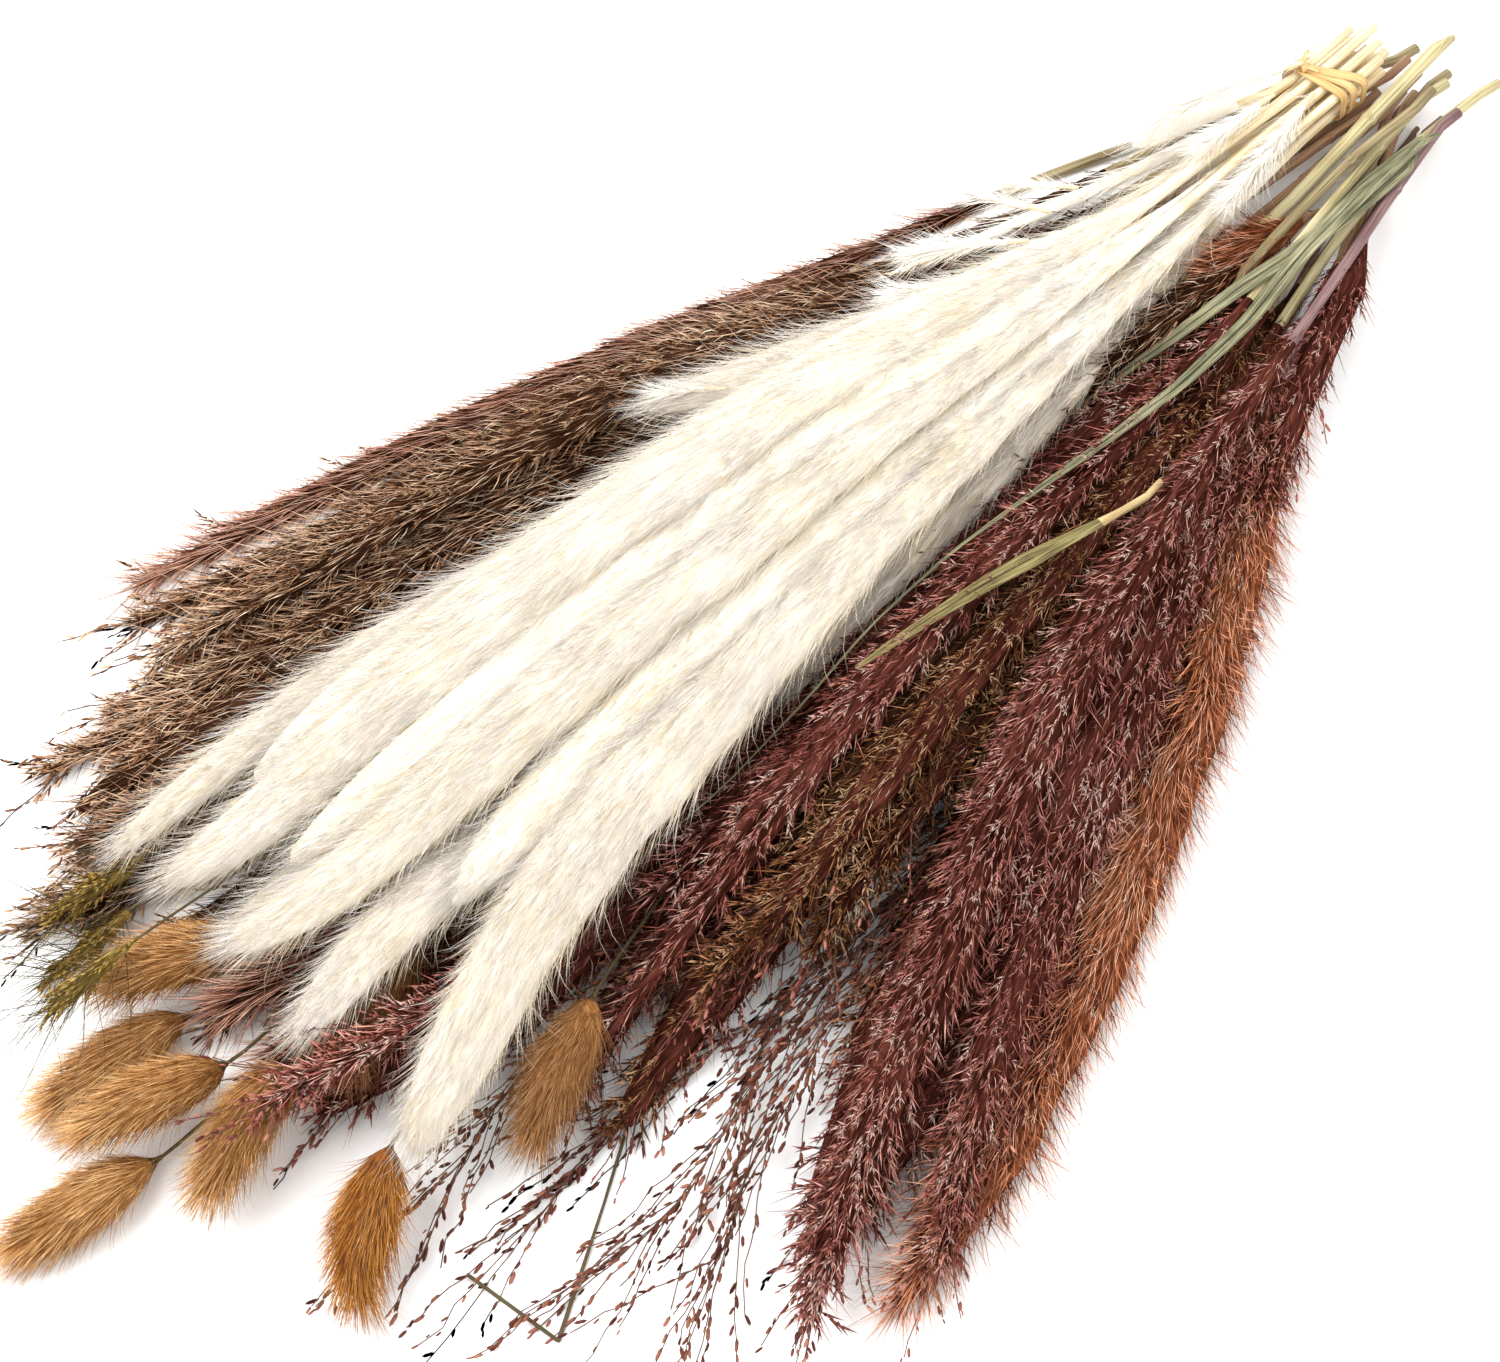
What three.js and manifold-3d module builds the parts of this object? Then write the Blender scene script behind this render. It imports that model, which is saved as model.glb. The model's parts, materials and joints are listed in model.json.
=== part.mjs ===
// A tied and laid-down bunch of dried grasses, in millimetres, +Z up, resting on the plane z = 0.
// +X runs from the plume tips to the cut ends of the stems. The origin is under the middle of the bunch.
// Each stalk grew as one piece, so its stem and its plume are one closed solid. The stalks are laid one
// by one: each keeps its own way seen from above, and lies on the surface and on the stalks laid before it.
import * as THREE from "three";
import Module from "manifold-3d";

const wasm = await Module();
wasm.setup();

// Lying
const CLEARANCE = 0.35; // between two stalks that touch
const PRESSED = 1.2; // how far the surface presses a plume's underside flat
const PLUME_HEIGHT = 0.54; // a lying plume's height over its width
const SAG = 0.0012; // bend of an unheld stretch of stalk, per mm
const TIP_DROOP = 0.16; // fall of a free tip for each mm of its length
const STEM_STEP = 38; // distance between the rings of a bare stem
const LOOK_STEP = 3; // distance between the places where a stalk is tested against those below it
const ROUNDS = 300; // in which a stalk's rings sink to where they rest
const LEAST_SHARE = 0.04; // a ring this little responsible for a place leaves it to the other one
const LEAST_BESIDE_HELD = 0.34; // the same beside a ring that the band holds
const LAST_RING = 0.985; // of a plume's length, the rest being its tip
const LEAST_STEP = 8; // rings of tufts lie at least this far apart
const LONGEST_SWEEP = 1.05; // of a tuft, in steps between rings
const FLARE = 20; // a plume takes on its lying shape within this length
const HIDDEN_STEM = 0.9; // of a plume's width, the most that its stem fills
const LEAST_REST = 0.6; // of a plume's half-height, how close its middle comes to the surface
const ON_A_SIDE = Math.sin(Math.PI / 3); // height of the middle of a six-sided stem lying on one side
const HALVINGS = 16; // when looking for the angle at which two stalks touch
const FIRST_SEED = 11;

// The tied bundle: three rows of round stems packed like pipes, the lowest row this high
const TIE = { x: 280, y: 28, z: 18.4 };
const STEM_PITCH = 4.8;
const ROW_PITCH = 3.95;
const CREAM_STEM = 2.1; // radius
const HELD_LENGTH = 15; // the stems stay straight this far to both sides of the band
const SPREADING = 9; // within which they come apart after that
const BAND = { width: 3.2, thickness: 0.9, slack: 0.3, leans: [0.2, 0.62], behind: 4, over: 0.6, corner: 3,
  colour: 0xcfa86a, roughness: 0.85 };

// Each kind of stalk: the stem's radius, the plume's greatest half-width, where along the plume that is,
// how sharply it ends, how much of its depth is tufts, how far a tuft is swept towards the tip, how uneven
// the tufts are, and how many sides and rings of tufts it has.
const KINDS = {
  cream: { stem: CREAM_STEM, half: 11, start: 0.28, peak: 0.55, taper: 2.3, tuft: 0.42, sweep: 17,
    uneven: 0.2, sides: 6, rings: 13, flat: PLUME_HEIGHT, colour: 0xeee6d2, roughness: 0.9 },
  brown: { stem: 2.0, half: 9.5, start: 0.35, peak: 0.45, taper: 2.8, tuft: 0.5, sweep: 12, uneven: 0.4,
    sides: 6, rings: 12, flat: PLUME_HEIGHT, colour: 0x7c5b43, roughness: 0.95 },
  mauve: { stem: 2.2, half: 10, start: 0.35, peak: 0.45, taper: 2.8, tuft: 0.52, sweep: 14, uneven: 0.4,
    sides: 6, rings: 12, flat: PLUME_HEIGHT, colour: 0x5f3536, roughness: 0.95 },
  rust: { stem: 2.2, half: 11, start: 0.35, peak: 0.5, taper: 2.4, tuft: 0.45, sweep: 14, uneven: 0.3,
    sides: 6, rings: 12, flat: PLUME_HEIGHT, colour: 0x8c5238, roughness: 0.95 },
  bunny: { stem: 0.9, half: 11.5, start: 0.55, peak: 0.4, taper: 2.2, tuft: 0.24, sweep: 5, uneven: 0.15,
    sides: 6, rings: 6, stemStep: 60, flat: 0.9, colour: 0xb98c55, roughness: 0.95 },
  ear: { stem: 0.8, half: 8, start: 0.4, peak: 0.5, taper: 1.3, tuft: 0.68, sweep: 14, uneven: 0.2,
    sides: 6, rings: 4, stemStep: 60, flat: 0.8, colour: 0x85742c, roughness: 0.9 },
};
// A panicle's twigs run forwards and outwards side by side, with a seed at their tip, and on every third
// of them a second one.
const PANICLE = { stem: 1, half: 23, height: 2.4, twigs: 15, twigLength: 54, bend: 1.2, twig: 0.42,
  stemStep: 50, tip: 0.55, lastTwig: 32, uneven: 0.3, firstBelt: 0.25, secondSeed: 0.5,
  secondFrom: 30,
  seed: 1.2, seedLength: 6, colour: 0x4a2f2a, roughness: 0.9 };
const BLADE = { height: 0.5, rings: 12, lastRing: 0.99, roughness: 0.7 }; // height is half its thickness

// Seen from above, from cut end to tip. `fluff` is the length of bare stem below the plume, and `nestle` is
// how far the stalk sinks in between the tufts that carry it.
// A cream stalk's `seat` is its row in the tied bundle and its place across it.
const CREAM = [
  { seat: [0, -1.5], cut: 300, fluff: 66, half: 12,
    route: [[222, 19], [150, 13], [89, 5], [45, 0], [2, -9]] },
  { seat: [0, -0.5], cut: 303, fluff: 70, half: 12,
    route: [[228, 27], [168, 32], [105, 37], [56, 42], [-16, 45]] },
  { seat: [0, 0.5], cut: 299, fluff: 72, half: 10,
    route: [[234, 36], [181, 46], [126, 58], [79, 73], [40, 90]] },
  { seat: [0, 1.5], cut: 302, fluff: 64, half: 7.5, route: [[243, 43], [188, 60], [156, 71], [128, 80]] },
  { seat: [1, -1], cut: 304, fluff: 84, half: 13,
    route: [[226, 22], [147, 18], [79, 14], [13, 11], [-39, 11], [-118, 12], [-153, 10], [-176, 6]] },
  { seat: [1, 0], cut: 301, fluff: 90, half: 13,
    route: [[226, 29], [158, 31], [92, 32], [34, 35], [-21, 40], [-104, 44], [-139, 45], [-162, 49]] },
  { seat: [1, 1], cut: 305, fluff: 78, half: 9.5,
    route: [[230, 37], [170, 44], [113, 53], [63, 61], [8, 71], [-43, 84], [-92, 91],
    [-148, 92], [-169, 91]] },
  { seat: [2, -1.5], cut: 298, fluff: 92, half: 16,
    route: [[222, 18], [143, 11], [80, 5], [23, 0], [-23, -5], [-65, -10], [-99, -16],
    [-139, -28], [-175, -41]] },
  { seat: [2, -0.5], cut: 303, fluff: 104, half: 13,
    route: [[222, 24], [148, 22], [82, 22], [21, 23], [-27, 27], [-104, 28], [-140, 31], [-172, 41]] },
  { seat: [2, 0.5], cut: 306, fluff: 98, half: 14,
    route: [[226, 32], [160, 35], [98, 41], [42, 46], [-11, 53], [-61, 61], [-105, 65],
    [-140, 67], [-167, 73]] },
  { seat: [2, 1.5], cut: 300, fluff: 50, half: 6.5, route: [[250, 43], [219, 57]] },
];

const BROWN = [
  { fluff: 150, half: 11,
    route: [[298, 18], [200, 38], [119, 55], [14, 77], [-54, 92], [-142, 105], [-174, 107]] },
  { fluff: 165, half: 11,
    route: [[310, 12], [200, 28], [106, 41], [-4, 59], [-74, 71], [-166, 91], [-198, 103]] },
  { fluff: 175, half: 10,
    route: [[300, 10], [200, 16], [85, 22], [-40, 22], [-94, 29], [-136, 34], [-184, 40]] },
  { fluff: 110, half: 10,
    route: [[302, 34], [254, 50], [193, 67], [129, 88], [29, 117], [-22, 129], [-69, 142],
    [-108, 157]] },
  { fluff: 130, half: 12.7,
    route: [[313, 19], [212, 40], [162, 54], [96, 74], [30, 94], [-21, 106], [-116, 122],
    [-160, 137]] },
  { fluff: 105, half: 11, nestle: 1.8,
    route: [[306, 26], [238, 42], [185, 56], [138, 72], [92, 87], [36, 101], [-65, 123],
    [-115, 136]] },
  { fluff: 120, half: 8, route: [[309, 31], [250, 47], [190, 58], [120, 75], [60, 92], [0, 110]] },
];

const MAUVE = [
  { fluff: 130, half: 13,
    route: [[305, 1], [214, -27], [168, -44], [114, -65], [21, -104], [-61, -144], [-89, -164]] },
  { fluff: 130, half: 11.5,
    route: [[327, -4], [282, -5], [222, -16], [159, -32], [107, -41], [1, -60], [-50, -72]] },
  { fluff: 125, half: 11,
    route: [[319, 11], [283, 4], [210, -14], [156, -25], [53, -43], [-46, -58], [-78, -58]] },
  { fluff: 120, half: 11, nestle: 2,
    route: [[313, 7], [253, -2], [197, -12], [144, -18], [24, -30], [-80, -44], [-136, -53]] },
  { fluff: 105, half: 11,
    route: [[302, 1], [243, 3], [194, -1], [105, -1], [-5, -9], [-101, -16], [-168, -6],
    [-196, 1]] },
  { fluff: 118, half: 14,
    route: [[304, -5], [252, -17], [206, -29], [163, -39], [111, -52], [53, -70], [4, -89],
    [-79, -124], [-129, -151]] },
  { fluff: 150, half: 9,
    route: [[321, 22], [228, 66], [188, 81], [119, 103], [56, 123], [-9, 142], [-99, 166]] },
  { fluff: 190, half: 10, route: [[296, 14], [180, 14], [60, 6], [-40, 2], [-110, 8], [-176, 22]] },
];

const RUST = [
  { fluff: 120, half: 13, route: [[310, 21], [230, -21], [180, -44], [147, -64], [101, -86], [22, -120],
    [-75, -154], [-105, -160]] },
  { fluff: 112, half: 10, route: [[308, 15], [246, -16], [178, -40], [152, -57], [121, -77], [89, -97]] },
];

const PANICLES = [
  { bare: 260, route: [[304, 15], [164, -28], [60, -58], [-22, -70], [-87, -67], [-168, -69]] },
  { bare: 265,
    route: [[300, 10], [158, -34], [60, -62], [-22, -76], [-75, -82], [-115, -92], [-152, -102]] },
  { bare: 260,
    route: [[302, 6], [150, -40], [60, -68], [-20, -84], [-71, -94], [-101, -106], [-140, -123]] },
  { bare: 240, route: [[298, 4], [160, -22], [60, -38], [-30, -48], [-90, -38], [-150, -42], [-178, -46]] },
];

const BUNNY = [
  { route: [[230, 12], [60, 14], [-150, 17], [-221, 18], [-267, 25]] },
  { route: [[240, 22], [60, 34], [-120, 44], [-187, 46], [-231, 51]] },
  { route: [[226, 17], [60, 24], [-120, 25], [-187, 24], [-233, 33]] },
  { route: [[236, 26], [60, 40], [-110, 52], [-163, 53], [-197, 63]] },
  { nestle: 0.7, route: [[220, 8], [60, 6], [-100, 12], [-170, 10], [-219, -5]] },
  { route: [[224, 2.8], [60, -6], [-100, -18], [-168, -26], [-210, -59]] },
  { route: [[214, -5], [60, -14], [-50, -23], [-96, -35], [-144, -59]] },
  { nestle: 0.9, route: [[218, 5], [60, 4], [-70, 10], [-124, 14], [-164, -4]] },
];
const BUNNY_HEAD = 50; // the heads' length

const EARS = [
  { route: [[232, 32], [60, 58], [-90, 72], [-156, 80], [-203, 83]] },
  { route: [[228, 28], [60, 48], [-110, 58], [-180, 61], [-219, 62]] },
  { nestle: 0.6, route: [[234, 36], [60, 64], [-80, 78], [-150, 88], [-190, 92]] },
];
const EAR_HEAD = 36;

// Half-widths of the blades at their cut end, middle and tip
const BLADES = [
  { name: "leaf_blade_01", nestle: 1.6, half: [3.6, 3.2, 0.8], colour: 0x9a9468,
    route: [[282, -12], [228, -9], [188, -4], [151, 3], [129, 7]] },
  { name: "leaf_blade_02", nestle: 1.6, half: [3.4, 2.6, 0.7], colour: 0x8f8a4e,
    route: [[292, -8], [235, -10], [196, -17], [167, -19], [88, -17], [23, -18], [-17, -21], [-68, -18]] },
  { name: "leaf_blade_03", half: [2.6, 2.8, 0.9], colour: 0xa39a52, nestle: 1.5,
    route: [[133, -41], [120, -40], [96, -36], [58, -31], [16, -25]] },
  { name: "long_straw", half: [2.4, 1.6, 0.8], round: true, colour: 0xb3a877,
    route: [[325, 14], [291, 11], [221, 8], [185, 11], [143, 12], [57, 13], [-60, 16], [-129, 12]] },
];
const FOLDED_STRAW = { radius: 1.1, route: [[-179, -67], [-175, -100], [-137, -79], [-118, -68]],
  colour: 0x8a7d4a, roughness: 0.8 };

const PLACES = 60; // straight pieces that a route is measured with

// Draws numbers from 0 to 1 that are the same each time.
function draws(seed) {
  let state = seed * 2654435761;
  return () => {
    state = (state + 0x6d2b79f5) | 0;
    let mixed = Math.imul(state ^ (state >>> 15), 1 | state);
    mixed = (mixed + Math.imul(mixed ^ (mixed >>> 7), 61 | mixed)) ^ mixed;
    return ((mixed ^ (mixed >>> 14)) >>> 0) / 4294967296;
  };
}

// How far the middles of two touching ellipses, a wide and b high by half, lie apart in height
// when they lie d apart to the side. Below zero where they pass each other.
function stackHeight(a1, b1, a2, b2, d) {
  if (d >= a1 + a2) return -Infinity;
  let low = 0;
  let high = Math.PI / 2;
  for (let round = 0; round < HALVINGS; round += 1) {
    const tilt = (low + high) / 2;
    const c = Math.cos(tilt);
    const s = Math.sin(tilt);
    const first = (a1 * a1 * c) / Math.hypot(a1 * c, b1 * s);
    const aside = first + (a2 * a2 * c) / Math.hypot(a2 * c, b2 * s);
    if (aside > d) low = tilt;
    else high = tilt;
  }
  const c = Math.cos(low);
  const s = Math.sin(low);
  return (b1 * b1 * s) / Math.hypot(a1 * c, b1 * s) + (b2 * b2 * s) / Math.hypot(a2 * c, b2 * s);
}

// A stalk, straw or blade: its way seen from above, its half-width and half-height along it, the rings of
// its skin, and, once it is laid, the height of each ring.
class Stalk {
  constructor({ name, route, rings, reach, core, sides, rest, bare = Infinity, nestle = 0 }) {
    this.name = name;
    this.bare = bare;
    this.nestle = nestle;
    this.curve = new THREE.CatmullRomCurve3(
      route.map(([x, y]) => new THREE.Vector3(x, y, 0)), false, "centripetal");
    this.curve.arcLengthDivisions = PLACES * 4;
    this.length = this.curve.getLength();
    this.reach = reach;
    this.core = core;
    this.sides = sides;
    this.rest = rest;
    this.rings = rings(this.length);
    this.heights = null;
    this.pins = new Map();
  }

  // The ring after distance s, and how far s lies from the ring before it to that one
  bay(s) {
    const { rings } = this;
    if (s >= rings.at(-1)) return { next: rings.length - 1, to: 1 };
    const next = rings.findIndex((ring) => ring > s);
    return { next, to: (s - rings[next - 1]) / (rings[next] - rings[next - 1]) };
  }

  // Height of the middle at distance s from the cut end
  height(s) {
    const { next, to } = this.bay(s);
    return THREE.MathUtils.lerp(this.heights[next - 1], this.heights[next], to);
  }

  // Where the middle is at distance s, seen from above, and the direction across it
  spot(s) {
    const along = THREE.MathUtils.clamp(s / this.length, 0, 1);
    const middle = this.curve.getPointAt(along);
    const ahead = this.curve.getTangentAt(along);
    return { x: middle.x, y: middle.y, acrossX: -ahead.y, acrossY: ahead.x };
  }

  // A point of the skin: at distance s, at an angle round the axis, a to the side and b up
  skin(s, angle, a, b) {
    const { x, y, acrossX, acrossY } = this.spot(s);
    const aside = a * Math.cos(angle);
    return [x + acrossX * aside, y + acrossY * aside, this.height(s) + b * Math.sin(angle)];
  }

  // Places LOOK_STEP apart, with the reach there
  places() {
    const count = Math.ceil(this.length / LOOK_STEP);
    return Array.from({ length: count + 1 }, (_, i) => {
      const s = (this.length * i) / count;
      return { s, soft: s > this.bare, ...this.spot(s), ...this.reach(s, this.length) };
    });
  }

  // Lays the stalk on the surface and on the stalks below it: each ring sinks until it hangs level between
  // its neighbours, or until a straight run beside it touches what lies below.
  settle(below) {
    const { rings } = this;
    const places = this.places();
    const duties = rings.map(() => []);
    const heights = rings.map(() => 0);
    places.forEach((place) => {
      const need = Math.max(this.rest(place), ...below.map((other) => other.carries(place, this.nestle)));
      const { next, to } = this.bay(place.s);
      duties[next - 1].push({ need, share: 1 - to, other: next });
      duties[next].push({ need, share: to, other: next - 1 });
      heights[next - 1] = Math.max(heights[next - 1], need);
      heights[next] = Math.max(heights[next], need);
    });
    this.pins.forEach((pinned, ring) => { heights[ring] = pinned; });
    const last = rings.length - 1;
    for (let round = 0; round < ROUNDS; round += 1) {
      for (let i = 0; i <= last; i += 1) {
        if (this.pins.has(i)) continue;
        const step = i === 0 ? rings[1] - rings[0] : rings[i] - rings[i - 1];
        let level;
        if (i === 0) level = heights[1] - TIP_DROOP * step;
        else if (i === last) level = heights[last - 1] - TIP_DROOP * step;
        else level = (heights[i - 1] + heights[i + 1]) / 2 - (SAG * step * step) / 2;
        const least = duties[i]
          .filter(({ share, other }) => share > (this.pins.has(other) ? LEAST_BESIDE_HELD : LEAST_SHARE))
          .map(({ need, share, other }) => (need - (1 - share) * heights[other]) / share);
        heights[i] = Math.max(level, ...least);
      }
    }
    this.heights = heights;
    this.laid = places.map((place) => ({ ...place, z: this.height(place.s) }));
  }

  // The least height at which a place of another stalk passes over this one, sunk in a little among tufts
  carries(place, nestle) {
    let most = -Infinity;
    const { laid } = this;
    for (let i = 1; i < laid.length; i += 1) {
      const from = laid[i - 1];
      const to = laid[i];
      const runX = to.x - from.x;
      const runY = to.y - from.y;
      const share = THREE.MathUtils.clamp(
        ((place.x - from.x) * runX + (place.y - from.y) * runY) / (runX * runX + runY * runY), 0, 1);
      const apart = Math.hypot(place.x - from.x - share * runX, place.y - from.y - share * runY);
      const a = THREE.MathUtils.lerp(from.a, to.a, share) + CLEARANCE;
      if (apart >= a + place.a) continue;
      const b = THREE.MathUtils.lerp(from.b, to.b, share) + CLEARANCE;
      const middle = THREE.MathUtils.lerp(from.z, to.z, share);
      const sunk = from.soft || place.soft ? nestle : 0;
      most = Math.max(most, middle + stackHeight(a, b, place.a, place.b, apart) - sunk);
    }
    return most;
  }
}

// The rings of a stalk: at both ends of the stretch that is held straight, evenly along the rest of the
// bare stem, then evenly along the plume to just before its tip
function ringPlan(bare, stemStep, plumeRings, held = 0) {
  return (length) => {
    const from = held ? held + SPREADING : 0;
    const free = Math.max(1, Math.round((bare - from) / stemStep));
    const stem = Array.from({ length: free }, (_, i) => from + ((bare - from) * i) / free);
    const count = Math.min(plumeRings, Math.round((length - bare) / LEAST_STEP));
    const plume = Array.from({ length: count + 1 },
      (_, i) => bare + ((length - bare) * LAST_RING * i) / count);
    return [...(held ? [0, held] : []), ...stem, ...plume];
  };
}

// A plume's outline as a share of its greatest half-width: it swells from the stem and draws in to its tip.
function swell(t, { start, peak, taper }) {
  if (t < peak) return start + ((1 - start) * (1 - Math.cos(Math.PI * (t / peak)))) / 2;
  return Math.cos((Math.PI / 2) * ((t - peak) / (1 - peak)) ** taper);
}

const TIP_RADIUS = 0.7;

// A stalk of one kind with its plume, as a Stalk still to be laid
function plumeStalk(name, kindName, { route, fluff, half, held, nestle }) {
  const kind = KINDS[kindName];
  const wide = half ?? kind.half;
  const share = (s, length) => THREE.MathUtils.clamp((s - fluff) / (length - fluff), 0, 1);
  const reach = (s, length) => {
    if (s < fluff) return { a: kind.stem, b: kind.stem };
    const inner = kind.stem * (1 - share(s, length)) + TIP_RADIUS;
    const a = Math.max(inner, wide * swell(share(s, length), kind));
    return { a, b: a * THREE.MathUtils.lerp(1, kind.flat, Math.min(1, (s - fluff) / FLARE)) };
  };
  const core = (s, length) => {
    const outer = reach(s, length);
    if (s <= fluff) return { a: kind.stem, b: kind.stem };
    const stem = (kind.stem * (1 - share(s, length))) / outer.a;
    const shrink = Math.max(1 - kind.tuft, Math.min(HIDDEN_STEM, stem));
    return { a: outer.a * shrink, b: outer.b * shrink };
  };
  const rest = ({ s, b }) => (s < fluff ? b * ON_A_SIDE : Math.max(b - PRESSED, b * LEAST_REST));
  const stalk = new Stalk({ name, route, reach, core, sides: kind.sides, rest, bare: fluff, nestle,
    rings: ringPlan(fluff, kind.stemStep ?? STEM_STEP, kind.rings, held) });
  stalk.kind = kind;
  stalk.bareRings = stalk.rings.findIndex((ring) => ring >= fluff);
  return stalk;
}

// Joins rings of points into a closed skin
class Skin {
  constructor(sides) {
    this.sides = sides;
    this.points = [];
    this.faces = [];
    this.count = 0;
  }

  ring(points) {
    this.points.push(...points);
    this.count += 1;
  }

  corner(ring, side) {
    return ring * this.sides + (side % this.sides);
  }

  closeStart() {
    for (let side = 1; side < this.sides - 1; side += 1) {
      this.faces.push([this.corner(0, 0), this.corner(0, side + 1), this.corner(0, side)]);
    }
  }

  closeTip(point) {
    const tip = this.points.push(point) - 1;
    for (let side = 0; side < this.sides; side += 1) {
      const last = this.count - 1;
      this.faces.push([this.corner(last, side), this.corner(last, side + 1), tip]);
    }
  }

  // Covers the patch between two rings flat, or with a growth through rings of four points to a tip.
  patch(ring, side, growth) {
    const corners = [this.corner(ring, side), this.corner(ring, side + 1),
      this.corner(ring + 1, side + 1), this.corner(ring + 1, side)];
    if (!growth) {
      this.faces.push([corners[0], corners[1], corners[2]], [corners[0], corners[2], corners[3]]);
      return;
    }
    let base = corners;
    growth.rings.forEach((points) => {
      const first = this.points.push(...points) - 4;
      const outer = [first, first + 1, first + 2, first + 3];
      base.forEach((corner, i) => {
        const j = (i + 1) % 4;
        this.faces.push([corner, base[j], outer[j]], [corner, outer[j], outer[i]]);
      });
      base = outer;
    });
    const tip = this.points.push(growth.tip) - 1;
    base.forEach((corner, i) => this.faces.push([corner, base[(i + 1) % 4], tip]));
  }

  geometry() {
    const made = new THREE.BufferGeometry();
    made.setAttribute("position", new THREE.BufferAttribute(new Float32Array(this.points.flat()), 3));
    made.setIndex(this.faces.flat());
    return made;
  }
}

// The closed skin of a laid stalk: a bare stem, then a core from which a tuft rises on every patch
function plumeGeometry(stalk, draw) {
  const { sides, rings, kind, bareRings, length } = stalk;
  const skin = new Skin(sides);
  const angleOf = (ring, side) => (2 * Math.PI * (side + Math.max(0, ring - bareRings) / 2)) / sides;
  rings.forEach((s, ring) => {
    const { a, b } = stalk.core(s, length);
    skin.ring(Array.from({ length: sides }, (_, side) => stalk.skin(s, angleOf(ring, side), a, b)));
  });
  skin.closeStart();
  for (let ring = 0; ring < rings.length - 1; ring += 1) {
    for (let side = 0; side < sides; side += 1) {
      skin.patch(ring, side, ring < bareRings ? null : tuftTip(stalk, ring, side, angleOf, draw));
    }
  }
  skin.closeTip(stalk.skin(length, 0, 0, 0));
  return skin.geometry();

  function tuftTip(plume, ring, side, angle, next) {
    const step = rings[ring + 1] - rings[ring];
    const root = (rings[ring] + rings[ring + 1]) / 2 + (next() - 0.5) * kind.uneven * step;
    const s = root + Math.min(kind.sweep, LONGEST_SWEEP * step, (length - root) / 2);
    const turn = (next() - 0.5) * kind.uneven;
    const around = (angle(ring, side) + angle(ring + 1, side + 1)) / 2 + (turn * 2 * Math.PI) / sides;
    const { a, b } = plume.reach(s, length);
    const out = 1 - kind.uneven * next();
    const inner = plume.core(s, length).a / a;
    const share = THREE.MathUtils.lerp(inner, 1, out);
    return { rings: [], tip: plume.skin(s, around, a * share, b * share) };
  }
}

// Blades and straws: smooth skins, wide and thin or round
function bladeStalk({ name, half, round, route, nestle }) {
  const reach = (s, length) => {
    const t = s / length;
    const [from, to] = t < 0.5 ? half : half.slice(1);
    const a = THREE.MathUtils.lerp(from, to, (t * 2) % 1);
    return { a, b: round ? a : BLADE.height };
  };
  const stalk = new Stalk({ name, route, reach, core: reach, sides: 6, nestle,
    rings: (length) => Array.from({ length: BLADE.rings },
      (_, i) => (length * BLADE.lastRing * i) / (BLADE.rings - 1)),
    rest: ({ b }) => b * ON_A_SIDE });
  stalk.bareRings = Infinity;
  stalk.kind = { sweep: 0, uneven: 0 };
  return stalk;
}

// manifold-3d solids, for what is fused or cut
function solid(geometry) {
  return new wasm.Manifold(new wasm.Mesh({
    numProp: 3,
    vertProperties: geometry.getAttribute("position").array,
    triVerts: new Uint32Array(geometry.getIndex().array),
  }));
}

function geometryOf(made) {
  const { vertProperties, numProp, triVerts } = made.getMesh();
  const points = [];
  for (let i = 0; i < vertProperties.length; i += numProp) points.push(...vertProperties.slice(i, i + 3));
  const geometry = new THREE.BufferGeometry();
  geometry.setAttribute("position", new THREE.BufferAttribute(new Float32Array(points), 3));
  geometry.setIndex(new THREE.BufferAttribute(new Uint32Array(triVerts), 1));
  return geometry;
}

// A straight or bent rod through points, with a radius at each, on few sides
function rod(points, radii, sides) {
  const skin = new Skin(sides);
  const up = new THREE.Vector3(0, 0, 1);
  points.forEach((point, i) => {
    const before = points[Math.max(0, i - 1)];
    const after = points[Math.min(points.length - 1, i + 1)];
    const ahead = new THREE.Vector3().subVectors(after, before).normalize();
    const across = new THREE.Vector3().crossVectors(up, ahead).normalize();
    const over = new THREE.Vector3().crossVectors(ahead, across);
    skin.ring(Array.from({ length: sides }, (_, side) => {
      const angle = (2 * Math.PI * side) / sides;
      return point.clone().addScaledVector(across, radii[i] * Math.cos(angle))
        .addScaledVector(over, radii[i] * Math.sin(angle)).toArray();
    }));
  });
  skin.closeStart();
  for (let ring = 0; ring < points.length - 1; ring += 1) {
    for (let side = 0; side < sides; side += 1) skin.patch(ring, side, null);
  }
  const last = points.at(-1);
  const outwards = new THREE.Vector3().subVectors(last, points.at(-2)).normalize();
  skin.closeTip(last.clone().addScaledVector(outwards, radii.at(-1)).toArray());
  return skin.geometry();
}

// How far out a twig is, this far along the axis from its root
function twigAside(run) {
  return (PANICLE.half - PANICLE.seed) * Math.min(1, run / PANICLE.twigLength) ** PANICLE.bend;
}

// The panicle's way and its reach, which is wide and low, as it lies pressed on the surface
function panicleStalk(name, { route, bare }) {
  const reach = (s) => {
    const run = Math.max(0, s - bare);
    const b = THREE.MathUtils.lerp(PANICLE.stem, PANICLE.height, Math.min(1, run / FLARE));
    return { a: PANICLE.stem + twigAside(run) + (run > 0 ? PANICLE.seed : 0), b };
  };
  const core = (s, length) => {
    const a = THREE.MathUtils.lerp(PANICLE.stem, PANICLE.tip, s / length);
    return { a, b: a };
  };
  const stalk = new Stalk({ name, route, reach, core, sides: 4, rest: ({ b }) => b,
    rings: ringPlan(bare, PANICLE.stemStep, PANICLE.twigs) });
  stalk.bareRings = stalk.rings.indexOf(bare);
  return stalk;
}

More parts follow.
